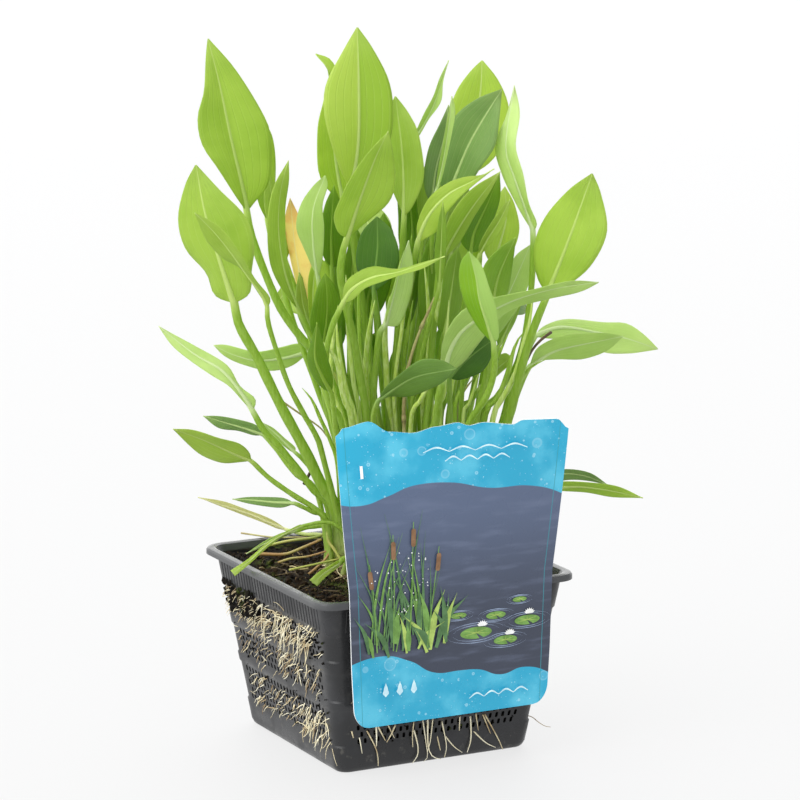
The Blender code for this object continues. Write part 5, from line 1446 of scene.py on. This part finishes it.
roots = {
    "pale": (0.97, 0.92, 0.70), "cream": (0.86, 0.77, 0.50), "tan": (0.50, 0.38, 0.20), "brown": (0.20, 0.13, 0.07),
    "thickness": (0.13, 0.34), "out": (0.7, 2.3), "lean": (-0.50, 0.32), "curl": 0.13,
    # wall's quarter turn from -Y, how many, the patch along it 0 to 1, its heights, strand lengths, share of brown
    "patches": (
        (3, 90, (0.0, 0.36), (55, 69), (1.5, 4.5), 0.45), (3, 78, (0.22, 1.0), (57, 69), (1.5, 5.0), 0.35),
        (3, 66, (0.36, 0.90), (58, 69), (7, 15), 0.08), (3, 26, (0.2, 0.8), (50, 57), (2, 7), 0.4),
        (3, 44, (0.52, 0.99), (37, 50), (2.5, 7), 0.35), (3, 30, (0.04, 0.6), (35, 49), (1.5, 4), 0.5),
        (3, 64, (0.08, 0.74), (14, 30), (1.5, 4.5), 0.4), (3, 46, (0.70, 1.0), (13, 28), (4, 11), 0.15),
        (1, 90, (0.05, 0.95), (50, 68), (2, 8), 0.4), (1, 50, (0.1, 0.9), (14, 48), (1.5, 6), 0.4),
        (2, 110, (0.05, 0.95), (50, 68), (2, 8), 0.4), (2, 60, (0.1, 0.9), (14, 48), (1.5, 6), 0.4),
        (0, 30, (0.02, 0.98), (36, 66), (2, 6), 0.4),
    ),
    # strands seen under the card, as (x, z) on the -Y wall
    "front": (
        ((-43.7, 20.6), (-43.4, 17.8)), ((-39.6, 17.1), (-39.2, 13.0), (-38.4, 9.6)),
        ((-36.0, 19.8), (-31.7, 11.5), (-30.2, 6.3), (-29.8, 2.2)), ((-31.5, 21.1), (-31.7, 16.5), (-31.4, 12.1)),
        ((-30.5, 20.9), (-27.1, 14.2)), ((-25.5, 21.1), (-22.6, 14.8)),
        ((-21.8, 20.6), (-24.2, 17.2), (-26.4, 13.2)),
        ((-12.5, 20.9), (-13.4, 15.0), (-12.8, 9.0)), ((-12.1, 16.8), (-10.2, 9.8), (-10.0, 4.6), (-12.4, 1.0)),
        ((-7.9, 20.9), (-6.0, 10.3), (-4.8, 3.3), (-6.6, 0.9)), ((-2.8, 21.1), (-4.0, 11.0), (-5.1, 5.3)),
        ((-5.4, 21.0), (-4.8, 8.7), (-2.2, 2.9), (2.1, 1.0)), ((3.9, 12.0), (8.5, 6.2), (13.1, 2.6)),
        ((2.0, 19.0), (4.5, 7.3), (4.0, 1.5)), ((0.0, 12.4), (1.6, 5.3)), ((16.6, 19.5), (17.0, 9.0), (15.7, 2.3)),
        ((18.5, 12.2), (24.8, 5.9), (30.3, 2.6)), ((23.9, 19.6), (31.2, 7.0), (34.3, 1.0)),
        ((23.0, 19.5), (27.0, 10.0)), ((11.1, 20.1), (10.6, 13.8)), ((19.3, 20.5), (20.5, 12.4)),
    ),
    # a thin one that reaches out past the right corner
    "side": ((46.0, -44.0, 14.5), (51.5, -45.0, 13.2), (55.0, -46.0, 10.2), (58.0, -47.0, 8.2), (60.5, -47.5, 7.6)),
    # soil that clings beside the holes: quarter turn, how many, patch, heights, sizes
    "clinging": (
        (3, 170, (0.0, 0.34), (56, 70), (0.5, 1.9)), (3, 90, (0.3, 1.0), (52, 68), (0.3, 0.9)),
        (3, 70, (0.02, 1.0), (13, 50), (0.25, 0.7)), (1, 200, (0.05, 0.95), (13, 69), (0.3, 1.0)),
        (2, 160, (0.05, 0.95), (13, 69), (0.3, 0.9)), (0, 90, (0.05, 0.95), (12, 66), (0.25, 0.7)),
    ),
    "fromCorner": 7.0, "frontThickness": (0.30, 0.46), "sideThickness": 0.26,
}


def rootMaterial(name, first, second):
    material, tree, shader = newMaterial(name, 0.5)
    colour = blendColours(tree, between(tree, noiseOn(tree, 150.0, 3.0), 0.36, 0.66), first, second)
    tree.links.new(colour, shader.inputs["Base Color"])
    addBump(tree, shader, noiseOn(tree, 800.0, 2.0), 0.00005, 0.5)
    return material


paleRoot = rootMaterial("paleRoot", roots["pale"], roots["cream"])
tanRoot = rootMaterial("tanRoot", roots["cream"], roots["tan"])
brownRoot = rootMaterial("brownRoot", roots["tan"], roots["brown"])


def onWall(quarter, x, z, out):
    # a place on a wall: x runs along it as on the -Y wall, out is its distance from the outside
    side = wallAt(z)[0]
    place = Vector((x, -side / 2 - out, z))
    return Matrix.Rotation(math.radians(90 * quarter), 3, "Z") @ place


rnd = random.Random(23)
bm = bmesh.new()
for quarter, count, across, heights, lengths, brown in roots["patches"]:
    for _ in range(count):
        z = rnd.uniform(*heights)
        half = wallAt(z)[0] / 2 - roots["fromCorner"]
        x = mix(-half, half, rnd.uniform(*across))
        lean, length = rnd.gauss(*roots["lean"]), rnd.uniform(*lengths)
        if rnd.random() < 0.12:
            lean += rnd.choice((-1.2, 1.2))
        reach, curl = rnd.uniform(*roots["out"]), rnd.gauss(0, roots["curl"]) * length
        points = []
        for k in range(6):
            t = k / 5
            bow = curl * math.sin(math.pi * t) + rnd.gauss(0, 0.16) * (k > 0)
            px = x + math.sin(lean) * length * t + math.cos(lean) * bow
            pz = z - math.cos(lean) * length * t + math.sin(lean) * bow
            points.append(onWall(quarter, px, max(pz, 1.0), mix(-0.7, reach, t ** 0.8)))
        addStrand(bm, evenLine(points, 7), rnd.uniform(*roots["thickness"]), 5, 0.35,
                  slot=rnd.choice((1, 2)) if rnd.random() < brown else rnd.choice((0, 0, 1)))
for line in roots["front"]:
    points = [onWall(0, x, z, mix(-0.4, 1.1, min(1, 2.2 * k / (len(line) - 1)))) for k, (x, z) in enumerate(line)]
    addStrand(bm, evenLine(points, 10), rnd.uniform(*roots["frontThickness"]), 6, 0.42,
              slot=rnd.choice((0, 0, 1)))
addStrand(bm, evenLine(roots["side"], 10), roots["sideThickness"], 6, 0.5, slot=2)
pieceFrom(bm, "rootsOutside", paleRoot, tanRoot, brownRoot)

places = []
for quarter, count, across, heights, sizes in roots["clinging"]:
    for _ in range(count):
        z = rnd.uniform(*heights)
        half = wallAt(z)[0] / 2 - roots["fromCorner"]
        spot = onWall(quarter, mix(-half, half, rnd.uniform(*across)), z, -0.1)
        places.append((spot.x, spot.y, spot.z, rnd.uniform(*sizes)))
scatter("clingingSoil", places, crumbMeshes, wetCrumb)
print("roots made")


# Crowns: knobbly corms in the soil with scales round the stalks' feet, and fine roots

corm = {
    "radius": 12.4, "low": 77.0, "high": 86.4,
    "scales": 15, "scalesFrom": 83.4, "scaleAt": (7.5, 11.8), "scaleHeight": (9, 24), "scaleSpan": (0.22, 0.42),
    "scaleThick": 0.35,
    "rootlets": 34, "rootletsFrom": 83.6, "rootletReach": (3.0, 13.0), "rootletThickness": (0.25, 0.5),
    "skin": (0.20, 0.13, 0.06), "pale": (0.46, 0.42, 0.20),
    "scale": (0.56, 0.56, 0.27), "scaleStripe": (0.36, 0.42, 0.12), "scaleFoot": (0.42, 0.24, 0.11),
}
cormSkin = plainMaterial("cormSkin", corm["skin"], corm["pale"], 220.0, 0.75)
sheathSkin, tree, shader = newMaterial("sheathSkin", 0.5)
fibres = between(tree, noiseOn(tree, 700.0, 3.0, stretch=(1, 1, 0.06)), 0.38, 0.64)
colour = blendColours(tree, fibres, corm["scale"], corm["scaleStripe"])
colour = blendColours(tree, between(tree, heightOf(tree), 0.082, 0.094, 0.9, 0.0), colour, corm["scaleFoot"])
tree.links.new(colour, shader.inputs["Base Color"])
addBump(tree, shader, fibres, 0.00012, 0.6)

for crown in ("left", "middle", "right"):
    cx, cy = crowns[crown]
    bpy.ops.mesh.primitive_uv_sphere_add(segments=44, ring_count=26, radius=1)
    body = bpy.context.object
    body.name = "corm" + crown.capitalize()
    middle, half = (corm["low"] + corm["high"]) / 2, (corm["high"] - corm["low"]) / 2
    for vert in body.data.vertices:
        x, y, z = vert.co
        flat = math.copysign(abs(z) ** 0.7, z)
        wide = math.sqrt(max(0.0, 1 - abs(flat) ** 3.2)) if abs(z) < 0.9999 else 0.0
        round_ = math.hypot(x, y) or 1.0
        lump = 1 + 0.07 * noise.noise(Vector((x * 2.4, y * 2.4, z * 3 + cx)))
        lump += 0.05 * noise.noise(Vector((x, y, z)) * 7)
        wide *= corm["radius"] * lump / round_
        high = half * (1 + 0.12 * noise.noise(Vector((x * 4 + cx, y * 4, 5))))
        vert.co = Vector((cx + x * wide, cy + y * wide, middle + flat * high)) * mm
    body.data.materials.append(cormSkin)
    bpy.ops.object.shade_smooth()
    body.select_set(False)
    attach(body, "root")
    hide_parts("crown_" + crown)

    rnd = random.Random(crown)
    bm = bmesh.new()
    for k in range(corm["scales"]):                       # torn leaf sheaths, each a thin curved shell
        angle = 2 * math.pi * (k + rnd.uniform(-0.3, 0.3)) / corm["scales"]
        radius, tall, spanned = (rnd.uniform(*corm[key]) for key in ("scaleAt", "scaleHeight", "scaleSpan"))
        rings = []
        for step in range(9):
            t = step / 8
            lean = radius * (1.0 - 0.26 * t + 0.10 * t * t)
            z = corm["scalesFrom"] + tall * t
            open_ = spanned * (1 - t ** 2.2) + 0.02
            ring = []
            for side in range(7):
                a = angle + open_ * (side / 3 - 1)
                push = 0.5 * math.cos(math.pi * (side / 3 - 1) / 2)
                for thick in (0.0, -corm["scaleThick"]):
                    r = lean + push + thick
                    ring.append(bm.verts.new(Vector((cx + r * math.cos(a), cy + r * math.sin(a), z)) * mm))
            rings.append(ring[0::2] + ring[1::2][::-1])
        closeRings(bm, rings)
    bmesh.ops.recalc_face_normals(bm, faces=bm.faces)
    sheaths = pieceFrom(bm, "sheaths" + crown.capitalize(), sheathSkin)
    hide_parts("crown_" + crown)

    bm = bmesh.new()
    for k in range(corm["rootlets"]):
        angle, reach = rnd.uniform(0, 6.28), rnd.uniform(*corm["rootletReach"])
        points = []
        for step in range(6):
            t = step / 5
            r = corm["radius"] - 1.0 + reach * t
            a = angle + 0.5 * math.sin(t * 3 + k) * t
            x, y = cx + r * math.cos(a), cy + r * math.sin(a)
            z = mix(corm["rootletsFrom"], soilTop(x, y) - 0.3, t ** 0.6) + 1.3 * math.sin(math.pi * t)
            points.append((x, y, z))
        addStrand(bm, evenLine(points, 10), rnd.uniform(*corm["rootletThickness"]), 6, 0.5,
                  slot=0 if rnd.random() < 0.6 else 1)
    pieceFrom(bm, "rootlets" + crown.capitalize(), tanRoot, brownRoot)
print("crowns made")


# The dead flower stalk, and the small things between the leaves

litter = {
    "oldStalk": ((8.5, 120), (8, 144), (8, 158), (10, 174), (15, 190), (22, 206)),
    "stalkWidth": 2.3, "stalkDepth": 20.0, "steps": 44, "knots": (0.30, 0.52, 0.71, 0.88),
    # readings along each thread, its depth, radius and finish (0 dry, 1 reddish, 2 yellow, 3 dark)
    "threads": (
        (((-67, 96), (-52, 94), (-39, 94), (-30, 93)), (-44, -30), 0.45, 0),
        (((-62, 84), (-59, 86), (-47, 86), (-39, 89), (-30, 93)), (-8, -4), 0.85, 1),
        (((-27, 100), (-27, 93), (-24, 88), (-21, 83)), (10, 14), 0.9, 2),
        (((-45, 78.5), (-34, 81), (-21, 84)), (22, 12), 0.6, 2),
        (((-50, 82), (-44, 84), (-36, 85), (-26, 88)), (0, 4), 0.6, 1),
        (((-36, 76.5), (-33, 79), (-28, 84), (-25, 90)), (16, 10), 0.7, 1),
        (((-55, 90), (-44, 92.5), (-33, 94), (-26, 97)), (-30, -20), 0.8, 2),
        (((-48, 158), (-41, 153), (-31, 146), (-27, 141)), (6, 2), 0.5, 0),
        (((-38, 119), (-33, 127), (-30, 121), (-31, 113)), (-10, -6), 0.8, 3),
        (((75, 190), (70, 186), (66, 181), (62, 172)), (6, 0), 0.7, 3),
    ),
}
dryFinish = plainMaterial("dryStalk", (0.50, 0.46, 0.19), (0.36, 0.29, 0.12), 160.0, 0.7)
redFinish = plainMaterial("reddishStalk", (0.36, 0.20, 0.06), (0.40, 0.36, 0.10), 60.0, 0.5)
yellowFinish = plainMaterial("yellowStalk", (0.52, 0.50, 0.13), (0.34, 0.44, 0.07), 60.0, 0.5)
darkFinish = plainMaterial("darkStalk", (0.05, 0.035, 0.025), (0.14, 0.09, 0.05), 160.0, 0.7)

foot = footPlace("middle", 2, 6)
line = evenLine((reading(*foot),) + litter["oldStalk"], litter["steps"] + 1)
places = [seen(p.x, p.y, mix(foot[1], litter["stalkDepth"], k / litter["steps"])) for k, p in enumerate(line)]
bm = bmesh.new()
addStrand(bm, places, litter["stalkWidth"] / 2, 9, 0.55)
for knot in litter["knots"]:
    k = round(knot * litter["steps"])
    addStrand(bm, [places[k - 1].lerp(places[k], 0.4), places[k], places[k + 1].lerp(places[k], 0.4)],
              litter["stalkWidth"] / 2 * mix(1.22, 0.85, knot), 9, 0.9)
    tipward = (places[k + 1] - places[k]).normalized()
    side = tipward.orthogonal().normalized() * (1 if k % 2 else -1)
    fork = [places[k], places[k] + (tipward * 2 + side) * 1.2, places[k] + (tipward * 2.4 + side * 1.3) * 2.0]
    addStrand(bm, fork, 0.35, 6, 0.4)
oldStalk = pieceFrom(bm, "oldStalk", dryFinish)
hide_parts("old_stalk")

bm = bmesh.new()
for points, depth, radius, slot in litter["threads"]:
    places = [seen(p.x, p.y, mix(depth[0], depth[1], k / 16)) for k, p in enumerate(evenLine(points, 17))]
    addStrand(bm, places, radius, 7, 0.7, slot)
pieceFrom(bm, "looseStalks", dryFinish, redFinish, yellowFinish, darkFinish)
print("litter made")


# Picture card: a thin sheet, its tongue over the rim, and a plain water print

card = {
    "y": -66.2, "middle": -1.0, "foot": 26.0, "thick": 0.7, "twist": 14.0, "twistFrom": 88.1,
    "footWidth": 97.0, "middleWidth": 100.0, "topWidth": 106.0, "corner": (7.0, 9.0), "columns": 72, "rows": 64,
    "mapWidth": 110.0, "mapHeight": 150.0, "mapFoot": 20.0,     # the stretch of the card that its map covers
    # place across, height of the wavy top
    "top": ((-0.5, 156.3), (-0.465, 160.0), (-0.36, 162.3), (-0.27, 157.3), (-0.17, 156.3), (-0.07, 158.6),
            (0.02, 160.0), (0.07, 158.4), (0.13, 159.5), (0.26, 158.0), (0.30, 159.8), (0.45, 159.6), (0.5, 155.0)),
    "rowsLow": 1.35,                  # over 1 puts the rows closer together at the round foot corners
    "tongueWidth": 18.0, "tongueRows": 40, "tongueRound": 8, "tongueNarrow": 0.28,
    "tongue": ((-65.3, 93.0), (-64.8, 91.0), (-63.2, 87.1), (-60.2, 86.1), (-57.6, 83.3), (-56.0, 79.6)),
    "sky": (0.018, 0.40, 0.62), "skyPale": (0.12, 0.60, 0.80), "line": (0.03, 0.30, 0.36),
    "water": (0.100, 0.135, 0.225), "deepWater": (0.042, 0.052, 0.082), "glint": (0.20, 0.24, 0.36),
    "paper": (0.84, 0.86, 0.87), "shadedPaper": (0.78, 0.81, 0.82), "bubble": (0.42, 0.76, 0.90),
    # bubbles on the blue: how close, how large, their rims' width, how strong
    "bubbles": ((0.10, 0.34, 0.05, 0.30), (0.26, 0.26, 0.09, 0.55), (0.75, 0.20, 0.16, 0.75)),
    # edge of the blue over the picture, and of the blue under it, as (across, up)
    "upperEdge": ((-54.8, 127.4), (-44, 125.8), (-31, 128.8), (-16.8, 133.1), (-1.5, 133.2), (18.4, 129.3),
                  (35.1, 129.2), (52.5, 124.1)),
    "lowerEdge": ((-50.6, 55.6), (-34.3, 57.9), (-21.4, 54.1), (-7.2, 46.8), (3.6, 46.6), (13.2, 45.9),
                  (25.3, 42.1), (36.2, 44.1), (49.1, 40.2)),
    "upperEdgeRange": (110.0, 140.0), "lowerEdgeRange": (30.0, 70.0),
    # the fine border line: how far in it starts and ends, how soft, how strong, and where the sides' slope ends
    "border": (3.5, 3.95), "borderSoft": 0.12, "borderShare": 0.8, "slopeTop": 157.0,
}


def onLine(points, place):
    # smooth height of a row of (place, height) points
    for (a, low), (b, high) in zip(points, points[1:]):
        if place <= b:
            share = max(0.0, (place - a) / (b - a))
            return mix(low, high, share * share * (3 - 2 * share))
    return points[-1][1]


def cardWidth(share):
    if share < 0.2:
        return mix(card["footWidth"], card["middleWidth"], share / 0.2)
    return mix(card["middleWidth"], card["topWidth"], (share - 0.2) / 0.8)


def cardTop(run):
    return onLine(card["top"], run / card["topWidth"])


def cardPoint(run, z, out=0.0):
    # a place on the card's face, run across from its middle line
    top = cardTop(run)
    turned = math.radians(card["twist"]) * max(0.0, (z - card["twistFrom"]) / (top - card["twistFrom"]))
    return Vector((card["middle"] + run * math.cos(turned) - out * math.sin(turned),
                   card["y"] - run * math.sin(turned) - out * math.cos(turned), z))


bpy.ops.mesh.primitive_grid_add(x_subdivisions=card["columns"], y_subdivisions=card["rows"], size=1)
sheet = bpy.context.object
sheet.name = "pictureCard"
cardMap = sheet.data.uv_layers.active or sheet.data.uv_layers.new()
cardMap.name = "cardMap"
flat = []
for vert in sheet.data.vertices:
    across, share = vert.co.x, vert.co.y + 0.5
    share = share ** card["rowsLow"]
    width = cardWidth(share)
    z = mix(card["foot"], onLine(card["top"], across), share)
    wide, high = card["corner"]
    below = max(0.0, 1 - (z - card["foot"]) / high)
    run = across * (width - 2 * wide * (1 - math.sqrt(max(0.0, 1 - below * below))))
    flat.append((run, z))
    vert.co = cardPoint(run, z) * mm
for loop in sheet.data.loops:
    run, z = flat[loop.vertex_index]
    cardMap.data[loop.index].uv = (run / card["mapWidth"] + 0.5, (z - card["mapFoot"]) / card["mapHeight"])
rows, rounded = card["tongueRows"], card["tongueRound"]
bpy.ops.mesh.primitive_grid_add(x_subdivisions=4, y_subdivisions=rows, size=1)
tongue = bpy.context.object
tongue.name = "cardTongue"
line = evenLine([(card["middle"], y, z) for y, z in card["tongue"]], rows + 1)
for vert in tongue.data.vertices:
    k = round((vert.co.y + 0.5) * rows)
    narrow = 1 - card["tongueNarrow"] * max(0.0, (k - rows + rounded) / rounded) ** 2
    vert.co = (line[k] + Vector((vert.co.x * card["tongueWidth"] * narrow, 0, 0))) * mm
thicken(tongue, card["thick"], 0)


def addCurve(tree, value, points, low, high):
    # a Float Curve node for a row of (place, height) points, heights from low to high
    scaled = between(tree, value, points[0][0], points[-1][0])
    tree.nodes[-1].interpolation_type = "LINEAR"
    node = addNode(tree, "FloatCurve")
    tree.links.new(scaled, node.inputs["Value"])
    curve = node.mapping.curves[0]
    for k, (place, height) in enumerate(points):
        spot = ((place - points[0][0]) / (points[-1][0] - points[0][0]), (height - low) / (high - low))
        if k in (0, len(points) - 1):
            curve.points[0 if k == 0 else -1].location = spot
        else:
            curve.points.new(*spot)
    node.mapping.update()
    height = sumNode(tree, "MULTIPLY_ADD", node.outputs[0], high - low)
    height.node.inputs[2].default_value = low
    return height


cardPrint, tree, shader = newMaterial("cardPrint", 0.30)
link = tree.links.new
where = addNode(tree, "UVMap", uv_map="cardMap")
split = addNode(tree, "SeparateXYZ")
link(where.outputs["UV"], split.inputs[0])
run = sumNode(tree, "MULTIPLY", split.outputs["X"], card["mapWidth"])
run = sumNode(tree, "SUBTRACT", run, card["mapWidth"] / 2)
up = sumNode(tree, "ADD", sumNode(tree, "MULTIPLY", split.outputs["Y"], card["mapHeight"]), card["mapFoot"])
edges = []
for key in ("upperEdge", "lowerEdge"):
    edges.append(sumNode(tree, "SUBTRACT", up, addCurve(tree, run, card[key], *card[key + "Range"])))
inBlue = sumNode(tree, "MAXIMUM", between(tree, edges[0], -0.15, 0.15), between(tree, edges[1], 0.15, -0.15))
millimetres = addNode(tree, "CombineXYZ")
link(run, millimetres.inputs[0])
link(up, millimetres.inputs[1])
cloudy = addNode(tree, "TexNoise", {"Scale": 0.055, "Detail": 4.0})
link(millimetres.outputs[0], cloudy.inputs["Vector"])
blue = blendColours(tree, between(tree, cloudy.outputs["Fac"], 0.42, 0.68, 0.0, 0.75), card["sky"], card["skyPale"])
for scale, size, rim, share in card["bubbles"]:
    drops = addNode(tree, "TexVoronoi", {"Scale": scale, "Randomness": 0.9}, feature="F1")
    link(millimetres.outputs[0], drops.inputs["Vector"])
    chance = addNode(tree, "SeparateColor")
    link(drops.outputs["Color"], chance.inputs[0])
    gap = sumNode(tree, "SUBTRACT", sumNode(tree, "MULTIPLY", chance.outputs[0], size), drops.outputs["Distance"])
    disc = between(tree, gap, 0.0, 0.02)
    ring = sumNode(tree, "SUBTRACT", disc, between(tree, gap, rim, rim + 0.03, 0.0, 0.65))
    blue = blendColours(tree, sumNode(tree, "MULTIPLY", ring, share), blue, card["bubble"])
ripple = addNode(tree, "TexNoise", {"Scale": 0.09, "Detail": 5.0})
stretch = addNode(tree, "Mapping", {"Scale": (0.45, 2.6, 1.0)})
link(millimetres.outputs[0], stretch.inputs["Vector"])
link(stretch.outputs["Vector"], ripple.inputs["Vector"])
pond = blendColours(tree, between(tree, up, 62.0, 128.0), card["deepWater"], card["water"])
pond = blendColours(tree, between(tree, ripple.outputs["Fac"], 0.48, 0.72, 0.0, 0.28), pond, card["glint"])
colour = blendColours(tree, inBlue, pond, blue)
halfWidth = between(tree, up, card["foot"], card["slopeTop"], card["footWidth"] / 2, card["topWidth"] / 2)
halfWidth.node.interpolation_type = "LINEAR"
side = sumNode(tree, "SUBTRACT", halfWidth, sumNode(tree, "ABSOLUTE", run))
(near, far), soft = card["border"], card["borderSoft"]
onBorder = sumNode(tree, "MULTIPLY", between(tree, side, near, near + soft), between(tree, side, far, far - soft))
colour = blendColours(tree, sumNode(tree, "MULTIPLY", onBorder, card["borderShare"]), colour, card["line"])
link(colour, shader.inputs["Base Color"])
link(between(tree, noiseOn(tree, 60.0, 3.0), 0.35, 0.65, 0.24, 0.36), shader.inputs["Roughness"])
addBump(tree, shader, noiseOn(tree, 35.0, 2.0), 0.0004, 0.25)

cardWhite, tree, shader = newMaterial("cardWhite", 0.42)
colour = blendColours(tree, between(tree, noiseOn(tree, 80.0), 0.3, 0.7), card["paper"], card["shadedPaper"])
tree.links.new(colour, shader.inputs["Base Color"])
addBump(tree, shader, noiseOn(tree, 900.0, 2.0), 0.00003, 0.4)
for part, materials in ((sheet, (cardPrint, cardWhite)), (tongue, (cardWhite,))):
    for material in materials:
        part.data.materials.append(material)
bpy.ops.object.select_all(action="DESELECT")
bpy.context.view_layer.objects.active = sheet
sheet.select_set(True)
thicken(sheet, card["thick"], -1, material_offset=1, material_offset_rim=1)
if sum(face.normal.y * face.area for face in sheet.data.polygons if face.material_index == 0) > 0:
    editMesh(selectAll, ("flip_normals", {}))

for part in (sheet, tongue):
    bpy.ops.object.select_all(action="DESELECT")
    part.select_set(True)
    bpy.context.view_layer.objects.active = part
    bpy.ops.object.shade_smooth_by_angle(angle=math.radians(40))
    part.select_set(False)
    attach(part, "root")
    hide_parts("label_card")

picture = {
    "reeds": {"at": (-27.0, 62.0), "spread": (15, 17), "count": 26, "height": (24, 60), "lean": 13},
    "blades": {"at": (-24.0, 60.0), "spread": (18, 22), "count": 22, "height": (11, 27), "lean": 17},
    "rushes": ((-38, 96, -3), (-30, 108, 1), (-22, 113, 3), (-13, 101, 6)),      # foot, height of the head, lean
    "pads": ((12, 63, 8.0), (27, 58, 6.0), (22, 70, 5.0), (38, 66, 6.5), (3, 72, 4.0), (34, 76, 3.6)),
    "blooms": ((15, 66), (29, 60.5), (39, 69)),
    "waterLines": ((148.5, -14, 34), (144.2, -4, 26), (34.5, 8, 38)),            # height, ends
    "drops": (-34.0, -27.0, -20.0), "slot": ((-42.6, 143.4), (-42.5, 140.6), (-42.4, 137.8)),
    "dots": 46, "dotSize": (0.35, 0.8), "dotHeight": (76, 104), "step": 0.007, "out": 0.04,
    "greens": ((0.13, 0.28, 0.045), (0.33, 0.46, 0.09), (0.060, 0.155, 0.045)),
    "bloom": (0.86, 0.88, 0.82), "ripple": (0.26, 0.33, 0.46), "rush": (0.20, 0.10, 0.04),
    "wave": (0.55, 0.80, 0.90),
}


def inkMaterial(name, colour):
    material, tree, shader = newMaterial(name, 0.30)
    pale = tuple(min(1.0, c * 1.35 + 0.02) for c in colour)
    tree.links.new(blendColours(tree, between(tree, noiseOn(tree, 240.0, 3.0), 0.35, 0.65), colour, pale),
                   shader.inputs["Base Color"])
    return material


layer = [picture["out"]]                                  # each stroke of ink lies just over the last


def printStroke(bm, points, widths, slot):
    layer[0] += picture["step"]
    line = evenLine(points, 13)
    rails = []
    for k, place in enumerate(line):
        ahead = (line[min(k + 1, 12)] - line[max(k - 1, 0)]).normalized()
        side = Vector((-ahead.y, ahead.x)) * onLine(widths, k / 12) / 2
        rails.append([bm.verts.new(cardPoint(p.x, p.y, layer[0]) * mm) for p in (place - side, place + side)])
    for (a, b), (c, d) in zip(rails, rails[1:]):
        bm.faces.new((a, c, d, b)).material_index = slot


rnd = random.Random(5)
bm = bmesh.new()
for x, z, radius in picture["pads"]:                      # floating pads, each with its ripples
    for r in (1.5, 1.9):
        for start in (190, 15):
            arc = [(x + r * radius * math.cos(math.radians(start + a)),
                    z + 0.30 * r * radius * math.sin(math.radians(start + a))) for a in range(0, 151, 25)]
            printStroke(bm, arc, ((0, 0.05), (0.5, 0.30), (1, 0.05)), 4)
    layer[0] += picture["step"]
    rim = [cardPoint(x + radius * math.cos(a), z + 0.34 * radius * math.sin(a), layer[0]) * mm
           for a in (math.radians(-62 + 344 * k / 30) for k in range(31))]
    middle = bm.verts.new(cardPoint(x, z, layer[0]) * mm)
    ring = [bm.verts.new(p) for p in rim]
    for a, b in zip(ring, ring[1:]):
        bm.faces.new((middle, a, b)).material_index = 0
    for k in range(5):
        angle = math.radians(-20 + 55 * k)
        printStroke(bm, ((x, z), (x + 0.45 * radius * math.cos(angle), z + 0.15 * radius * math.sin(angle)),
                         (x + 0.9 * radius * math.cos(angle), z + 0.3 * radius * math.sin(angle))),
                    ((0, 0.35), (1, 0.1)), 1)
for x, z in picture["blooms"]:
    for k in range(7):
        angle = math.radians(20 + 23.3 * k)
        tip = (x + 3.0 * math.cos(angle), z + 2.6 * math.sin(angle))
        printStroke(bm, ((x, z), ((x + tip[0]) / 2, (z + tip[1]) / 2), tip), ((0, 0.3), (0.55, 1.1), (1, 0.1)), 3)
for name, slots in (("reeds", (0, 2, 2)), ("blades", (0, 1, 2, 0))):
    row = picture[name]
    for k in range(row["count"]):
        x = row["at"][0] + rnd.uniform(-row["spread"][0], row["spread"][1])
        z = row["at"][1] + rnd.uniform(-3, 4)
        lean, height = rnd.uniform(-row["lean"], row["lean"]), rnd.uniform(*row["height"])
        wide = rnd.uniform(0.8, 1.3) if name == "reeds" else rnd.uniform(1.8, 3.4)
        printStroke(bm, ((x, z), (x + lean * 0.3, z + height * 0.55), (x + lean, z + height)),
                    ((0, wide * 0.5), (0.4, wide), (1, 0.08)), rnd.choice(slots))
for x, z, lean in picture["rushes"]:
    printStroke(bm, ((x, 60), (x + lean * 0.4, (60 + z) / 2), (x + lean, z + 4)), ((0, 0.6), (1, 0.35)), 0)
    printStroke(bm, ((x + lean * 0.85, z - 7), (x + lean * 0.93, z - 3), (x + lean, z + 1)),
                ((0, 1.2), (0.1, 2.2), (0.9, 2.2), (1, 1.0)), 5)
for k in range(picture["dots"]):                          # small pale blooms among the reeds
    x, z = picture["reeds"]["at"][0] + rnd.gauss(3, 9), rnd.uniform(*picture["dotHeight"])
    size = rnd.uniform(*picture["dotSize"])
    printStroke(bm, ((x - size / 2, z), (x, z + 0.05), (x + size / 2, z)), ((0, 0.1), (0.5, size), (1, 0.1)), 3)
for z, first, last in picture["waterLines"]:
    wave = [(mix(first, last, k / 8), z + (1.0 if k % 2 else -1.0)) for k in range(9)]
    for k in range(0, 8, 2):
        printStroke(bm, wave[k:k + 3], ((0, 0.35), (0.5, 0.8), (1, 0.35)), 6)
for x in picture["drops"]:
    printStroke(bm, ((x, 46.0), (x, 42.5), (x, 39.6)), ((0, 0.1), (0.45, 2.0), (0.75, 3.1), (1, 0.5)), 6)
printStroke(bm, picture["slot"], ((0, 1.3), (1, 1.3)), 3)
inks = [inkMaterial("reedInk%d" % k, colour) for k, colour in enumerate(picture["greens"])]
inks += [inkMaterial(name + "Ink", picture[name]) for name in ("bloom", "ripple", "rush", "wave")]
ink = pieceFrom(bm, "cardPicture", *inks)
if sum(face.normal.y * face.area for face in ink.data.polygons) > 0:
    ink.data.flip_normals()
print("card made")
